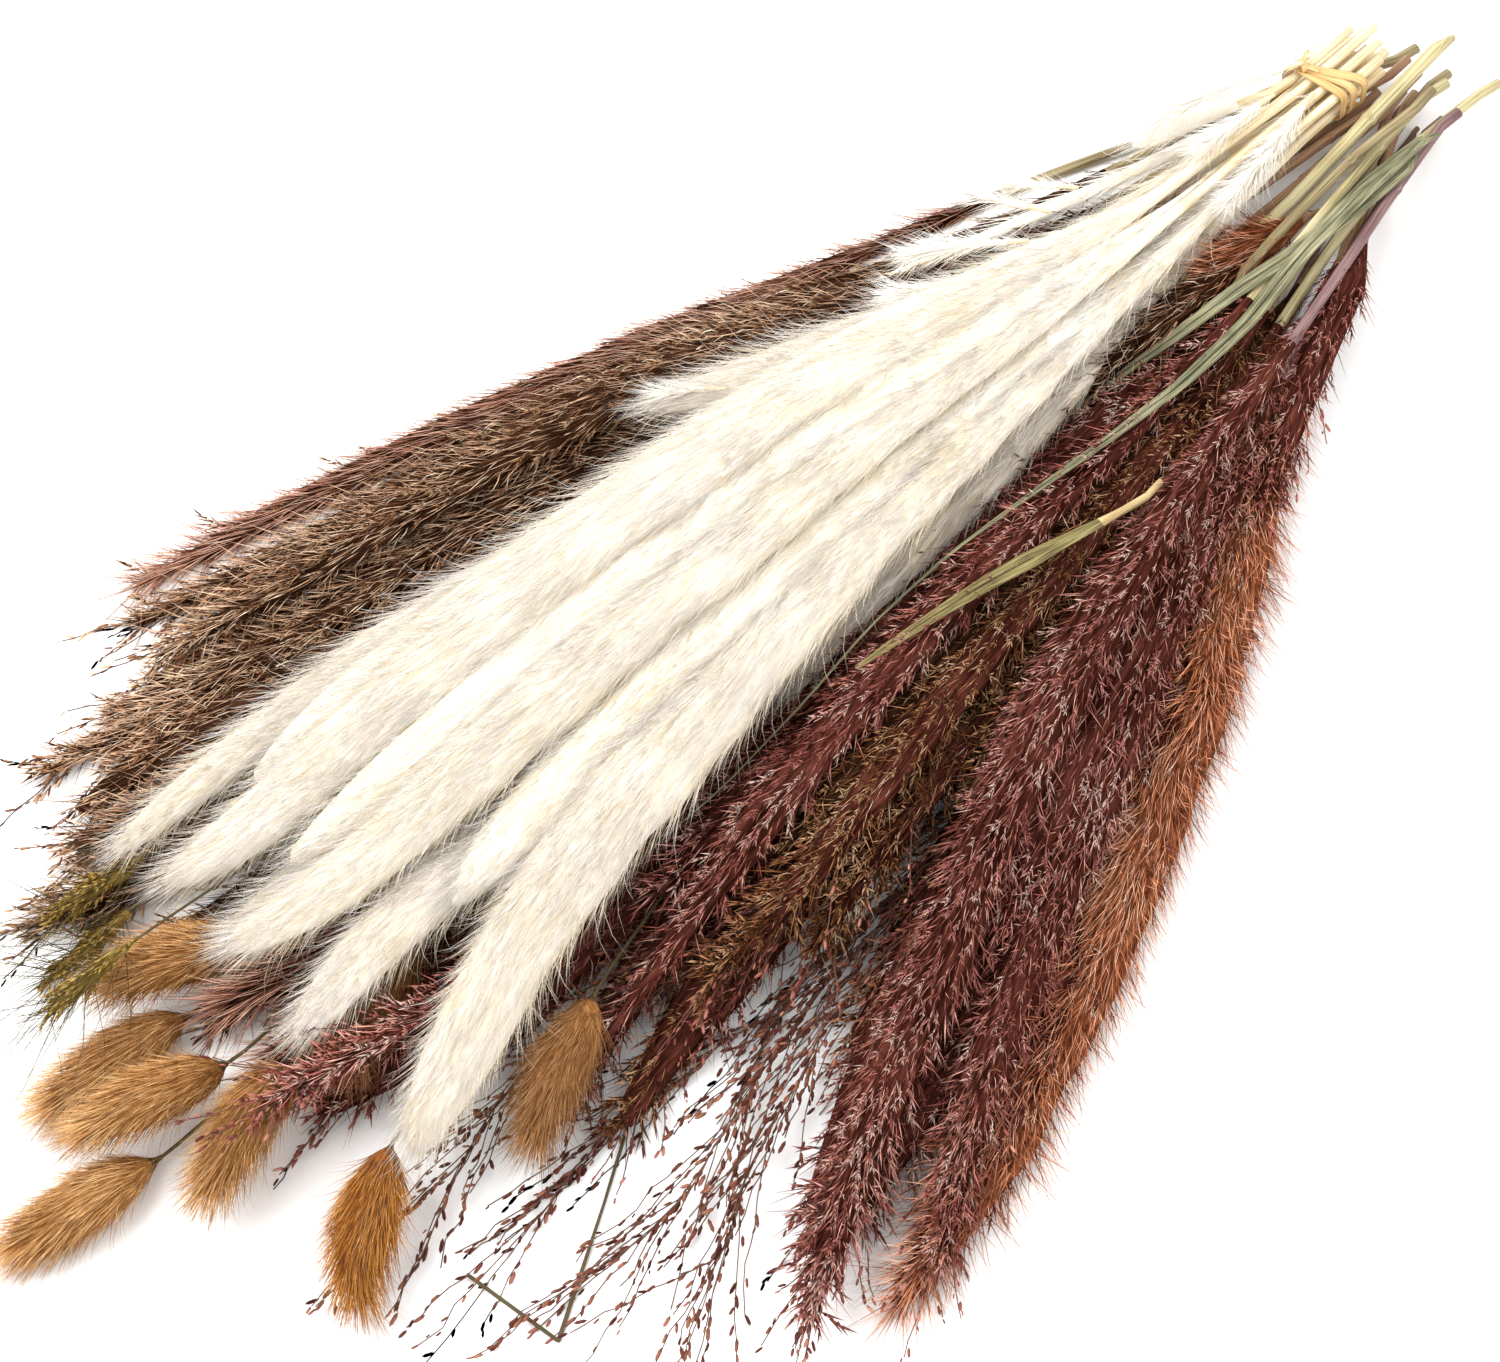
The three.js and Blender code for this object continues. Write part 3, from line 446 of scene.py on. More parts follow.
class TwigTree(GrowthTree):
    """Grows thin wavering twigs with seeds along a line, and keeps what it is put on."""

    INPUTS = (
        ("Twigs", "Int", 40),
        ("Twig Length", "Float", 0.04),
        ("Twig Radius", "Float", 0.0002),
        ("Open", "Float", 0.5),
        ("Waver", "Float", 0.004),
        ("Seeds", "Int", 8),
        ("Seed Length", "Float", 0.005),
        ("Seed Radius", "Float", 0.0006),
        ("Seed", "Int", 1),
        ("Twig Finish", "Material", None),
        ("Seed Finish", "Material", None),
    )
    WAY, LENGTH, SEED_WAY, SEED_SIZE, TONE, SHIFT, KEPT = 1, 2, 5, 6, 7, 8, 9  # steps from the seed
    UP = (0.0, 0.0, 1.0)
    FLATTER = (1.0, 1.0, 0.35)  # how far twigs spread along each axis
    SHORTEST = 0.55  # twig, as a share of the longest
    POINTS = 9  # along each twig
    BENDS = 90.0  # how close a twig's bends follow each other
    DROOPING = (0.5, 0.5, 0.6)  # what the bends' pattern is counted from, so that more of them lead down
    SEED_TURN = 0.45
    SEED_SHIFT = 0.0007  # metres
    SMALLEST = 0.4  # seed, as a share of the largest
    LOST = 0.3  # share of the seeds that have dropped

    def __init__(self, name: str) -> None:
        """Builds the named tree."""
        super().__init__(name)
        line = self.geo("MeshToCurve", {"Mesh": self.given("Geometry")})
        joints = self.geo("ResampleCurve", {"Curve": line, "Count": self.given("Twigs")}, mode="COUNT")
        off = self.vector("MULTIPLY", self.drawn_vector(self.given("Open"), self.WAY), self.FLATTER)
        way = self.vector("ADD", self.geo("InputTangent"), off)
        stick = self.geo("CurvePrimitiveLine", {"Start": (0.0, 0.0, 0.0), "End": self.UP})
        stick = self.geo("ResampleCurve", {"Curve": stick, "Count": self.POINTS}, mode="COUNT")
        size = self.math("MULTIPLY", self.given("Twig Length"), self.drawn(self.SHORTEST, 1.0, self.LENGTH))
        placed = self.geo("InstanceOnPoints", {
            "Points": joints, "Instance": stick, "Rotation": self.faced(way, self.UP), "Scale": size})
        real = self.geo("RealizeInstances", {"Geometry": placed})
        bends = self.noise(self.place(), self.BENDS, 1.0)["Color"]
        waver = self.math("MULTIPLY", self.given("Waver"), self.geo("SplineParameter"))
        bends = self.scaled(self.vector("SUBTRACT", bends, self.DROOPING), waver)
        twigs = self.geo("SetPosition", {"Geometry": real, "Offset": bends})
        ring = self.geo("CurvePrimitiveCircle", {"Resolution": 3, "Radius": self.given("Twig Radius")})
        sticks = self.geo("CurveToMesh", {"Curve": twigs, "Profile Curve": ring, "Fill Caps": True})
        sticks = self.geo("SetMaterial", {"Geometry": sticks, "Material": self.given("Twig Finish")})
        spots = self.node("GeometryNodeCurveToPoints", {"Curve": twigs, "Count": self.given("Seeds")},
                          mode="COUNT").outputs
        seed_way = self.vector("ADD", spots["Tangent"], self.drawn_vector(self.SEED_TURN, self.SEED_WAY))
        grown = self.geo("InstanceOnPoints", {
            "Points": self.geo("SetPosition", {
                "Geometry": spots[0], "Offset": self.drawn_vector(self.SEED_SHIFT, self.SHIFT)}),
            "Selection": self.math("GREATER_THAN", self.drawn(0.0, 1.0, self.KEPT), self.LOST),
            "Instance": self._seed(), "Rotation": self.faced(seed_way, self.UP),
            "Scale": self.drawn(self.SMALLEST, 1.0, self.SEED_SIZE)})
        toned = self.stored(grown, "tone", self.drawn(0.0, 1.0, self.TONE), "INSTANCE")
        self.close(sticks, self.finished(toned, "Seed Finish"))

    def _seed(self) -> Socket:
        """Returns a pointed seed along Z that stands on its lower end."""
        ball = self.geo("MeshUVSphere", {"Segments": 4, "Rings": 3, "Radius": 1.0})
        radius = self.given("Seed Radius")
        moved = self.geo("Transform", {
            "Geometry": ball, "Translation": self.upwards("Seed Length", 0.5),
            "Scale": self.combined(X=radius, Y=radius, Z=self.times("Seed Length", 0.5))})
        return self.stored(moved, "share", self.math("DIVIDE", self.apart()["Z"], self.given("Seed Length")))


# Finishes


@dataclass(frozen=True)
class Finish:
    """A material that is made the first time it is asked for."""

    name: str

    def material(self) -> bpy.types.Material:
        """Returns the material."""
        made = bpy.data.materials.get(self.name)
        if made is None:
            made = bpy.data.materials.new(self.name)
            made.use_nodes = True
            self._paint(Graph(made.node_tree), made.node_tree.nodes["Principled BSDF"])
        return made

    def _paint(self, graph: Graph, shader: bpy.types.Node) -> None:
        """Sets the shader and adds the nodes that colour it."""
        raise NotImplementedError


@dataclass(frozen=True)
class HairFinish(Finish):
    """Hairs, curls, husks and seeds: darker at the root, each of its own tone, tinted on a plume's sides and
    underside. On a plume both the darker root and that tint are painted shade, deep in the coat and in the
    grooves.
    """

    # root: painted shade where a plume's hairs go deep into the coat; on seeds and awns their own colour at
    # the base
    root: Colour
    dark: Colour
    middle: Colour
    light: Colour
    # the next colour is painted shade, which the groove mark mixes in on a plume's sides and underside
    hollow_shade: Colour
    sheen: float = 0.0
    gloss: float = 0.1
    soaked: float = 0.0  # share of the light that goes into the hairs and comes out beside them

    ROOTED = 0.45  # share of a hair's length over which the root's colour fades
    STOPS = (0.05, 0.525, 1.0)  # tones at which a hair is dark, middling and light
    PATCHES = 28.0  # how fine the patches are that shift the tones
    PATCHY = 1.2  # how much they shift them

    def _paint(self, graph: Graph, shader: bpy.types.Node) -> None:
        """Mixes the hair's own tone, its root colour and the tint of a plume's sides and underside, the last
        two painted shade on a plume.
        """
        share, tone, groove = (graph.node("ShaderNodeAttribute", attribute_name=name).outputs["Fac"]
                               for name in ("share", "tone", "groove"))
        place = graph.node("ShaderNodeTexCoord").outputs["Object"]
        patch = graph.math("SUBTRACT", graph.noise(place, self.PATCHES, 3.0)["Fac"], 0.5)
        shifted = graph.math("ADD", tone, graph.math("MULTIPLY", patch, self.PATCHY))
        toned = graph.ramp(shifted, self.STOPS, self.dark, self.middle, self.light)
        grown = graph.node("ShaderNodeMapRange", {"Value": share, "From Max": self.ROOTED}).outputs[0]
        # painted shade: the groove mark mixes the tint of the sides and underside into the colour
        whole = graph.mixed(groove, graph.mixed(grown, self.root, toned), self.hollow_shade)
        graph.tree.links.new(whole, shader.inputs["Base Color"])
        shader.subsurface_method = "BURLEY"
        for label, value in (
            ("Roughness", 0.8), ("Specular IOR Level", self.gloss),
            ("Sheen Weight", self.sheen), ("Sheen Roughness", 0.4), ("Subsurface Weight", self.soaked),
            ("Subsurface Radius", (1.0, 0.95, 0.85)), ("Subsurface Scale", 2 * MM),
        ):
            shader.inputs[label].default_value = value


@dataclass(frozen=True)
class StreakFinish(Finish):
    """Stems and blades: streaks that run along the piece."""

    dark: Colour
    middle: Colour
    light: Colour
    fine: float = 900.0
    stretch: float = 0.03
    bump: float = 0.25
    gloss: float = 0.3

    STOPS = (0.36, 0.5, 0.66)  # tones at which a streak is dark, middling and light
    PATCHES = 40.0  # how fine the patches are
    STREAKY = 0.7  # the streaks' share of the tone, of which the patches have the rest
    RISE = 0.0004  # height of the streaks in metres
    ROUGHNESS = 0.65

    def _paint(self, graph: Graph, shader: bpy.types.Node) -> None:
        """Draws the streaks, and lets them rise a little."""
        run = graph.node("ShaderNodeAttribute", attribute_name="run").outputs["Vector"]
        drawn_out = graph.node("ShaderNodeMapping", {
            "Vector": run, "Scale": (self.fine * self.stretch, self.fine, self.fine)}).outputs[0]
        streaks = graph.noise(drawn_out, 1.0, 4.0, 0.6)["Fac"]
        place = graph.node("ShaderNodeTexCoord").outputs["Object"]
        patches = graph.noise(place, self.PATCHES, 2.0)["Fac"]
        both = graph.math("ADD", graph.math("MULTIPLY", streaks, self.STREAKY),
                          graph.math("MULTIPLY", patches, 1 - self.STREAKY))
        toned = graph.ramp(both, self.STOPS, self.dark, self.middle, self.light)
        raised = graph.node("ShaderNodeBump", {
            "Height": streaks, "Strength": self.bump, "Distance": self.RISE})
        graph.tree.links.new(toned, shader.inputs["Base Color"])
        graph.tree.links.new(raised.outputs["Normal"], shader.inputs["Normal"])
        shader.inputs["Roughness"].default_value = self.ROUGHNESS
        shader.inputs["Specular IOR Level"].default_value = self.gloss


@dataclass(frozen=True)
class ShadeGroundFinish(StreakFinish):
    """The ground of a plume, which shows between its hairs; its colours are painted shade of the plume's
    inside.
    """

    gloss: float = 0.0


@dataclass(frozen=True)
class StemFinish(StreakFinish):
    """A stem, with finer streaks."""

    fine: float = 1400.0


CREAM_HAIR = HairFinish(
    "cream hair", (0.755, 0.695, 0.625), (0.715, 0.645, 0.515), (0.75, 0.715, 0.68),
    (0.805, 0.785, 0.775), (0.69, 0.545, 0.29), gloss=0.15, soaked=0.45)
# A lighter copy of the cream hair: painted light on the cream plumes and wisps near the tie.
LIT_CREAM_HAIR = HairFinish(
    "lit cream lock", (0.98, 0.94, 0.87), (0.96, 0.92, 0.84), (0.98, 0.96, 0.92),
    (1.0, 0.99, 0.98), (0.96, 0.87, 0.69), gloss=0.15, soaked=0.35)
BROWN_FUZZ = HairFinish(
    "brown fuzz", (0.055, 0.022, 0.01), (0.16, 0.07, 0.037), (0.72, 0.42, 0.255),
    (0.98, 0.72, 0.51), (0.05, 0.02, 0.009), gloss=0.05)
BROWN_CURL = HairFinish(
    "tan curl", (0.35, 0.2, 0.1), (0.62, 0.4, 0.23), (0.93, 0.74, 0.53),
    (1.0, 0.95, 0.82), (0.25, 0.13, 0.07))
BROWN_SPRIG = HairFinish(
    "brown sprig", (0.05, 0.018, 0.008), (0.14, 0.055, 0.024), (0.6, 0.31, 0.155),
    (0.95, 0.68, 0.44), (0.06, 0.023, 0.01), gloss=0.05)
MAUVE_FUZZ = HairFinish(
    "mauve fuzz", (0.08, 0.019, 0.014), (0.17, 0.043, 0.032), (0.62, 0.21, 0.16),
    (0.9, 0.5, 0.4), (0.09, 0.022, 0.016), gloss=0.05)
MAUVE_SPRIG = HairFinish(
    "mauve sprig", (0.11, 0.027, 0.02), (0.24, 0.064, 0.049), (0.72, 0.29, 0.225),
    (1.0, 0.8, 0.67), (0.13, 0.033, 0.024), gloss=0.05)
MAUVE_CURL = HairFinish(
    "pale curl", (0.3, 0.11, 0.08), (0.42, 0.17, 0.12), (0.8, 0.47, 0.36),
    (0.98, 0.8, 0.66), (0.22, 0.08, 0.05))
RUSSET_FUZZ = HairFinish(
    "russet fuzz", (0.045, 0.014, 0.005), (0.09, 0.031, 0.012), (0.36, 0.145, 0.06),
    (0.68, 0.38, 0.2), (0.045, 0.014, 0.006), gloss=0.05)
RUSSET_SPRIG = HairFinish(
    "russet sprig", (0.05, 0.016, 0.006), (0.12, 0.042, 0.016), (0.45, 0.19, 0.08),
    (0.85, 0.55, 0.32), (0.06, 0.02, 0.009), gloss=0.05)
ROSY_FUZZ = HairFinish(
    "rosy fuzz", (0.1, 0.026, 0.02), (0.19, 0.054, 0.041), (0.58, 0.22, 0.165),
    (0.84, 0.45, 0.36), (0.13, 0.035, 0.025), gloss=0.05)
ROSY_SPRIG = HairFinish(
    "rosy sprig", (0.13, 0.034, 0.026), (0.25, 0.073, 0.056), (0.7, 0.3, 0.24),
    (1.0, 0.78, 0.65), (0.17, 0.048, 0.036), gloss=0.05)
OLIVE_FUZZ = HairFinish(
    "olive brown fuzz", (0.05, 0.018, 0.006), (0.1, 0.039, 0.014), (0.32, 0.15, 0.06),
    (0.62, 0.38, 0.19), (0.05, 0.018, 0.007), gloss=0.05)
OLIVE_SPRIG = HairFinish(
    "olive brown sprig", (0.05, 0.018, 0.006), (0.12, 0.045, 0.017), (0.4, 0.19, 0.08),
    (0.8, 0.55, 0.3), (0.06, 0.022, 0.009), gloss=0.05)
PINK_HAIR = HairFinish(
    "pinkish fuzz", (0.3, 0.11, 0.07), (0.4, 0.17, 0.11), (0.75, 0.42, 0.3),
    (0.93, 0.66, 0.52), (0.28, 0.11, 0.07), gloss=0.05)
RUST_HAIR = HairFinish(
    "rust hair", (0.19, 0.052, 0.02), (0.35, 0.1, 0.042), (0.8, 0.31, 0.15),
    (0.98, 0.62, 0.42), (0.24, 0.067, 0.027), gloss=0.05)
BUNNY_HAIR = HairFinish(
    "bunny fur", (0.26, 0.105, 0.026), (0.4, 0.175, 0.052), (0.7, 0.38, 0.14),
    (1.0, 0.7, 0.37), (0.3, 0.13, 0.042), soaked=0.25)
# A darker copy of the bunny fur: painted shade for two tails in the shadow of the plumes above them.
SHADED_BUNNY_HAIR = replace(
    BUNNY_HAIR, name="shaded bunny fur", dark=(0.22, 0.09, 0.032), middle=(0.42, 0.2, 0.075),
    light=(0.66, 0.38, 0.18), hollow_shade=(0.18, 0.075, 0.025))
AMBER_HAIR = HairFinish(
    "amber fur", (0.22, 0.055, 0.004), (0.3, 0.09, 0.01), (0.6, 0.24, 0.032),
    (0.85, 0.47, 0.15), (0.26, 0.075, 0.008), sheen=0.1)
OLIVE_HAIR = HairFinish(
    "olive bristle", (0.22, 0.13, 0.022), (0.34, 0.21, 0.038), (0.65, 0.43, 0.11),
    (0.8, 0.6, 0.24), (0.17, 0.1, 0.02))
DARK_AWN = HairFinish(
    "dark awn", (0.15, 0.1, 0.02), (0.03, 0.024, 0.01), (0.07, 0.052, 0.02),
    (0.26, 0.2, 0.08), (0.05, 0.038, 0.016))
SEED = HairFinish(
    "seed husk", (0.1, 0.026, 0.016), (0.05, 0.013, 0.009), (0.15, 0.044, 0.028),
    (0.36, 0.15, 0.09), (0.08, 0.026, 0.02))
BROWN_HUSK = replace(
    SEED, name="brown husk", dark=(0.1, 0.035, 0.014), middle=(0.32, 0.14, 0.065), light=(0.72, 0.47, 0.28))
MAUVE_HUSK = replace(
    SEED, name="mauve husk", dark=(0.1, 0.022, 0.016), middle=(0.3, 0.095, 0.07), light=(0.5, 0.24, 0.17))
# The grounds below are painted shade of a plume's inside, which shows between its hairs.
CREAM_SHADE_GROUND = ShadeGroundFinish(
    "cream shade ground", (0.83, 0.71, 0.5), (0.85, 0.785, 0.67), (0.87, 0.83, 0.76), fine=500.0)
# A lighter copy of the cream ground: painted light for the same plumes.
LIT_CREAM_CORE = ShadeGroundFinish(
    "lit cream core", (0.95, 0.86, 0.68), (0.96, 0.91, 0.82), (0.98, 0.95, 0.9), fine=500.0)
BROWN_SHADE_GROUND = ShadeGroundFinish(
    "brown shade ground", (0.007, 0.002, 0.001), (0.025, 0.01, 0.005), (0.08, 0.034, 0.018))
MAUVE_SHADE_GROUND = ShadeGroundFinish(
    "mauve shade ground", (0.014, 0.003, 0.002), (0.055, 0.015, 0.01), (0.14, 0.042, 0.03))
RUST_SHADE_GROUND = ShadeGroundFinish("rust shade ground", (0.06, 0.016, 0.007), (0.18, 0.055, 0.023), (0.34, 0.125, 0.055))
BUNNY_SHADE_GROUND = ShadeGroundFinish("bunny shade ground", (0.2, 0.08, 0.02), (0.34, 0.16, 0.05), (0.5, 0.27, 0.1))
AMBER_SHADE_GROUND = ShadeGroundFinish("amber shade ground", (0.15, 0.04, 0.005), (0.3, 0.09, 0.012), (0.45, 0.17, 0.03))
OLIVE_GROUND = StreakFinish("olive ground", (0.1, 0.06, 0.01), (0.2, 0.125, 0.022), (0.34, 0.23, 0.05))
TWIG = StreakFinish("twig", (0.05, 0.018, 0.012), (0.12, 0.055, 0.036), (0.24, 0.13, 0.08), bump=0.0)
STRAW = StemFinish("straw stem", (0.5, 0.36, 0.17), (0.8, 0.66, 0.42), (0.93, 0.84, 0.65))
GREEN = StemFinish("green stem", (0.22, 0.17, 0.07), (0.45, 0.385, 0.2), (0.62, 0.56, 0.35))
OLIVE_STEM = StemFinish("olive stem", (0.11, 0.08, 0.035), (0.26, 0.2, 0.1), (0.42, 0.35, 0.2))
MAUVE_STEM = StemFinish("mauve stem", (0.08, 0.04, 0.04), (0.18, 0.1, 0.1), (0.32, 0.21, 0.19))
BROWN_STEM = StemFinish("brown stem", (0.15, 0.07, 0.035), (0.32, 0.18, 0.1), (0.5, 0.33, 0.2))
TAN_STEM = StemFinish("tan stem", (0.3, 0.2, 0.08), (0.5, 0.37, 0.18), (0.66, 0.53, 0.31))
DRY_STRAW = StemFinish("dry straw", (0.03, 0.022, 0.008), (0.075, 0.056, 0.02), (0.16, 0.125, 0.052))
OLIVE_BLADE = StreakFinish(
    "olive blade", (0.045, 0.034, 0.01), (0.16, 0.125, 0.042), (0.36, 0.3, 0.13), fine=2600.0, bump=0.5)
GREEN_BLADE = StreakFinish(
    "green blade", (0.05, 0.05, 0.025), (0.17, 0.165, 0.09), (0.4, 0.37, 0.22), fine=2600.0, bump=0.5)
PITH = StreakFinish("pith", (0.5, 0.38, 0.2), (0.72, 0.6, 0.38), (0.88, 0.8, 0.6), fine=2500.0, stretch=1.0)
RAFFIA = StreakFinish(
    "raffia", (0.42, 0.23, 0.07), (0.66, 0.42, 0.17), (0.82, 0.6, 0.31), fine=2200.0, bump=0.5)


# Forms


def soft(values: np.ndarray, reach: int) -> np.ndarray:
    """Evens out a row of numbers, or the columns of a table.

    Args:
        values: The numbers.
        reach: How many neighbours on each side count.

    Returns:
        The evened numbers.
    """
    weights = np.hanning(2 * reach + 3)[1:-1]
    weights /= weights.sum()
    padded = np.concatenate([np.repeat(values[:1], reach, 0), values, np.repeat(values[-1:], reach, 0)])
    if values.ndim == 1:
        return np.convolve(padded, weights, "valid")
    return np.stack([np.convolve(column, weights, "valid") for column in padded.T], 1)


def travelled(points: np.ndarray) -> np.ndarray:
    """Returns how far along a line each of its points is."""
    return np.concatenate([[0.0], np.cumsum(np.linalg.norm(np.diff(points, axis=0), axis=1))])


def read(places: np.ndarray, run: np.ndarray, values: np.ndarray) -> np.ndarray:
    """Reads numbers, or the columns of a table, at places along the run that they belong to."""
    if values.ndim == 1:
        return np.interp(places, run, values)
    return np.stack([np.interp(places, run, column) for column in values.T], 1)


def unit(rows: np.ndarray) -> np.ndarray:
    """Returns vectors of length 1 in the directions of others."""
    return rows / np.linalg.norm(rows, axis=1)[:, None]


def beside(ahead: np.ndarray) -> np.ndarray:
    """Returns the level directions across a line's own directions."""
    return unit(np.stack([-ahead[:, 1], ahead[:, 0], np.zeros(len(ahead))], 1))


def risen(values: np.ndarray | float, start: float, over: float) -> np.ndarray:
    """Returns shares that rise from 0 at a start to 1 over a distance."""
    return np.clip((values - start) / over, 0, 1)


def walls(count: int, sides: int, endless: bool = False) -> list[tuple[int, ...]]:
    """Returns the faces between neighbouring rings of points.

    Args:
        count: How many rings there are.
        sides: How many points each has.
        endless: Whether the last ring is joined to the first.

    Returns:
        The faces, ring by ring.
    """
    faces = []
    for ring in range(count if endless else count - 1):
        near, far = ring * sides, (ring + 1) % count * sides
        for side in range(sides):
            other = (side + 1) % sides
            faces.append((near + side, near + other, far + other, far + side))
    return faces


def skin(name: str, points: np.ndarray, faces: list, finishes: list[bpy.types.Material]) -> Thing:
    """Makes a smooth object.

    Args:
        name: Its name.
        points: Its points, in millimetres.
        faces: Its faces, by the numbers of their points.
        finishes: Its materials.

    Returns:
        The object, in the scene.
    """
    mesh = bpy.data.meshes.new(name)
    mesh.from_pydata((points * MM).tolist(), [], faces)
    for finish in finishes:
        mesh.materials.append(finish)
    mesh.polygons.foreach_set("use_smooth", [True] * len(faces))
    return shown(bpy.data.objects.new(name, mesh))


def mark(piece: Thing, label: str, values: np.ndarray) -> None:
    """Stores a number or a vector for each point of a piece, under a name that trees and finishes read."""
    kind, key = ("FLOAT", "value") if values.ndim == 1 else ("FLOAT_VECTOR", "vector")
    stored = piece.data.attributes.new(label, kind, "POINT")
    stored.data.foreach_set(key, values.astype(np.float32).ravel())


@dataclass
class Form:
    """A solid's middle line from its cut end to its tip, and its half-sizes there, in millimetres."""

    middle: np.ndarray
    wide: np.ndarray
    tall: np.ndarray

    STEP = 3.0
    INSET = 0.05  # how far the first and last slices are from the ends
    FEWEST = 8

    def __post_init__(self) -> None:
        """Measures the way along the middle line."""
        self.run = travelled(self.middle)
        self.length = float(self.run[-1])

    @classmethod
    def of_node(cls, node: Thing) -> Form:
        """Slices a solid across X and keeps each slice's middle and half-sizes.

        Args:
            node: The solid's object, whose cut end has the greatest X.

        Returns:
            The solid's form.
        """
        points = np.array([vertex.co for vertex in node.data.vertices]) / MM
        first, second = points[np.array([edge.vertices[:] for edge in node.data.edges]).T]
        high = points[:, 0].max() - cls.INSET
        low = points[:, 0].min() + cls.INSET
        rows = []
        for x in np.linspace(high, low, max(cls.FEWEST, int((high - low) / cls.STEP))):
            across = (first[:, 0] - x) * (second[:, 0] - x) <= 0
            a, b = first[across], second[across]
            width = b[:, 0] - a[:, 0]
            share = (x - a[:, 0]) / np.where(np.abs(width) < 1e-6, 1.0, width)
            met = a + (b - a) * np.clip(share, 0, 1)[:, None]
            lowest, highest = met.min(0), met.max(0)
            rows.append([x, *((lowest + highest) / 2)[1:], *((highest - lowest) / 2)[1:]])
        rows = np.array(rows)
        ahead = np.gradient(soft(rows[:, :3], 6), axis=0)
        lean = np.abs(ahead[:, 0]) / np.hypot(ahead[:, 0], ahead[:, 1])
        return cls(rows[:, :3], rows[:, 3] * lean, rows[:, 4])

    def at(self, run: np.ndarray, values: np.ndarray) -> np.ndarray:
        """Reads one of the form's rows of numbers at distances from the cut end."""
        return read(run, self.run, values)


@dataclass
class Loft:
    """A closed skin round a middle line, in millimetres, with its rings from the cut end to the tip."""

    name: str
    middle: np.ndarray
    wide: np.ndarray
    tall: np.ndarray
    run: np.ndarray
    sides: int
    kinds: np.ndarray | None = None
    hairy: np.ndarray | None = None
    long: np.ndarray | None = None
    open: np.ndarray | None = None
    sideways: float = 0.0

    LOWEST = 0.4  # height of its underside where it lies on the surface
    CUT_BULGE = 0.3
    TIP_BULGE = 2.0
    HAIRS = 0.56, 0.44  # share of the hairs at its sides, and how much more there is on top
    # painted shade: how strongly the grooves' tint falls on its sides, and how much less on its top
    HOLLOW_SHADE = 0.35, 0.75  # how much its sides lie in the hollows, and how much less its top does

    def build(self, finishes: list[bpy.types.Material]) -> Thing:
        """Makes the skin as an object with its finishes and the attributes that growths and streaks read.

        Args:
            finishes: The materials that the numbers in kinds point at, the cut end's last.

        Returns:
            The object.
        """
        count = len(self.run)
        ahead = unit(np.gradient(self.middle, axis=0))
        across = beside(ahead)
        over = np.cross(ahead, across)
        angles = np.arange(self.sides) * 2 * np.pi / self.sides
        rings = (self.middle[:, None] + across[:, None] * (self.wide[:, None] * np.cos(angles))[..., None]
                 + over[:, None] * (self.tall[:, None] * np.sin(angles))[..., None])
        rings[..., 2] = np.maximum(rings[..., 2], self.LOWEST)
        first = self.middle[:1] + ahead[:1] * self.CUT_BULGE
        tip = self.middle[-1:] + ahead[-1:] * min(self.TIP_BULGE, float(self.wide[-1]))
        tip[:, 2] = np.maximum(tip[:, 2], self.LOWEST)
        levels = self.kinds if self.kinds is not None else np.zeros(count, int)
        faces = walls(count, self.sides)
        kinds = np.repeat(levels[:-1], self.sides).tolist()
        start = count * self.sides
        last = start - self.sides
        for side in range(self.sides):
            other = (side + 1) % self.sides
            faces += [(start, other, side), (start + 1, last + side, last + other)]
            kinds += [len(finishes) - 1, int(levels[-1])]
        made = skin(self.name, np.concatenate([rings.reshape(-1, 3), first, tip]), faces, finishes)
        made.data.polygons.foreach_set("material_index", kinds)
        self._mark(made, ahead, angles)
        made.data.update()
        return made

    def _mark(self, piece: Thing, ahead: np.ndarray, angles: np.ndarray) -> None:
        """Stores what growths and streaks read.

        Args:
            piece: The skin.
            ahead: The direction of growth at each ring.
            angles: Each side's angle round the middle line.
        """
        count, sides = len(self.run), self.sides
        mark(piece, "growth", np.concatenate([np.repeat(ahead, sides, 0), ahead[:1], ahead[-1:]]))
        radius = np.repeat((self.wide + self.tall) / 2, sides)
        side = np.tile(np.sign(np.sin(angles) + 1e-9), count)
        round_it = np.tile(np.minimum(angles, 2 * np.pi - angles), count) * radius * side
        runs = np.stack([np.repeat(self.run, sides), round_it, np.repeat(self.wide, sides)], 1)
        ends = [[self.run[0], 0, 0], [self.run[-1], 0, 0]]
        mark(piece, "run", np.concatenate([runs, ends]) * MM)
        for label, values, shape in (
            ("hairy", self.hairy, self.HAIRS[0] + self.HAIRS[1] * np.sin(angles)),
            ("long", self.long, np.ones(sides)),
            ("open", self.open, 1 + self.sideways * np.abs(np.cos(angles))),
        ):
            if values is not None:
                spread = np.repeat(values, sides) * np.tile(shape, count)
                mark(piece, label, np.concatenate([spread, [0.0, values[-1]]]))
        # the groove mark, read by the hair finishes as painted shade: most on the underside, less on the
        # sides, none on top
        low = np.clip(self.HOLLOW_SHADE[0] - self.HOLLOW_SHADE[1] * np.sin(angles), 0, 1)
        mark(piece, "groove", np.concatenate([np.tile(low, count), [0.3, 0.0]]))


# Looks


class Way(Enum):
    """How a coat's growths are made."""

    HAIR = "straight hair"
    WISP = "bent hair"
    CURL = "curled husk"
    SPRIG = "sprig of spikelets"


@dataclass(frozen=True)
class Coat:
    """One kind of growth on a plume: how many there are, and their size and set."""

    way: Way
    finish: HairFinish
    count: int
    length: float
    radius: float
    lean: float
    lean_spread: float
    scatter: float
    wave: float = 0.3
    curl: float = 30.0

    SHORTEST = 0.5


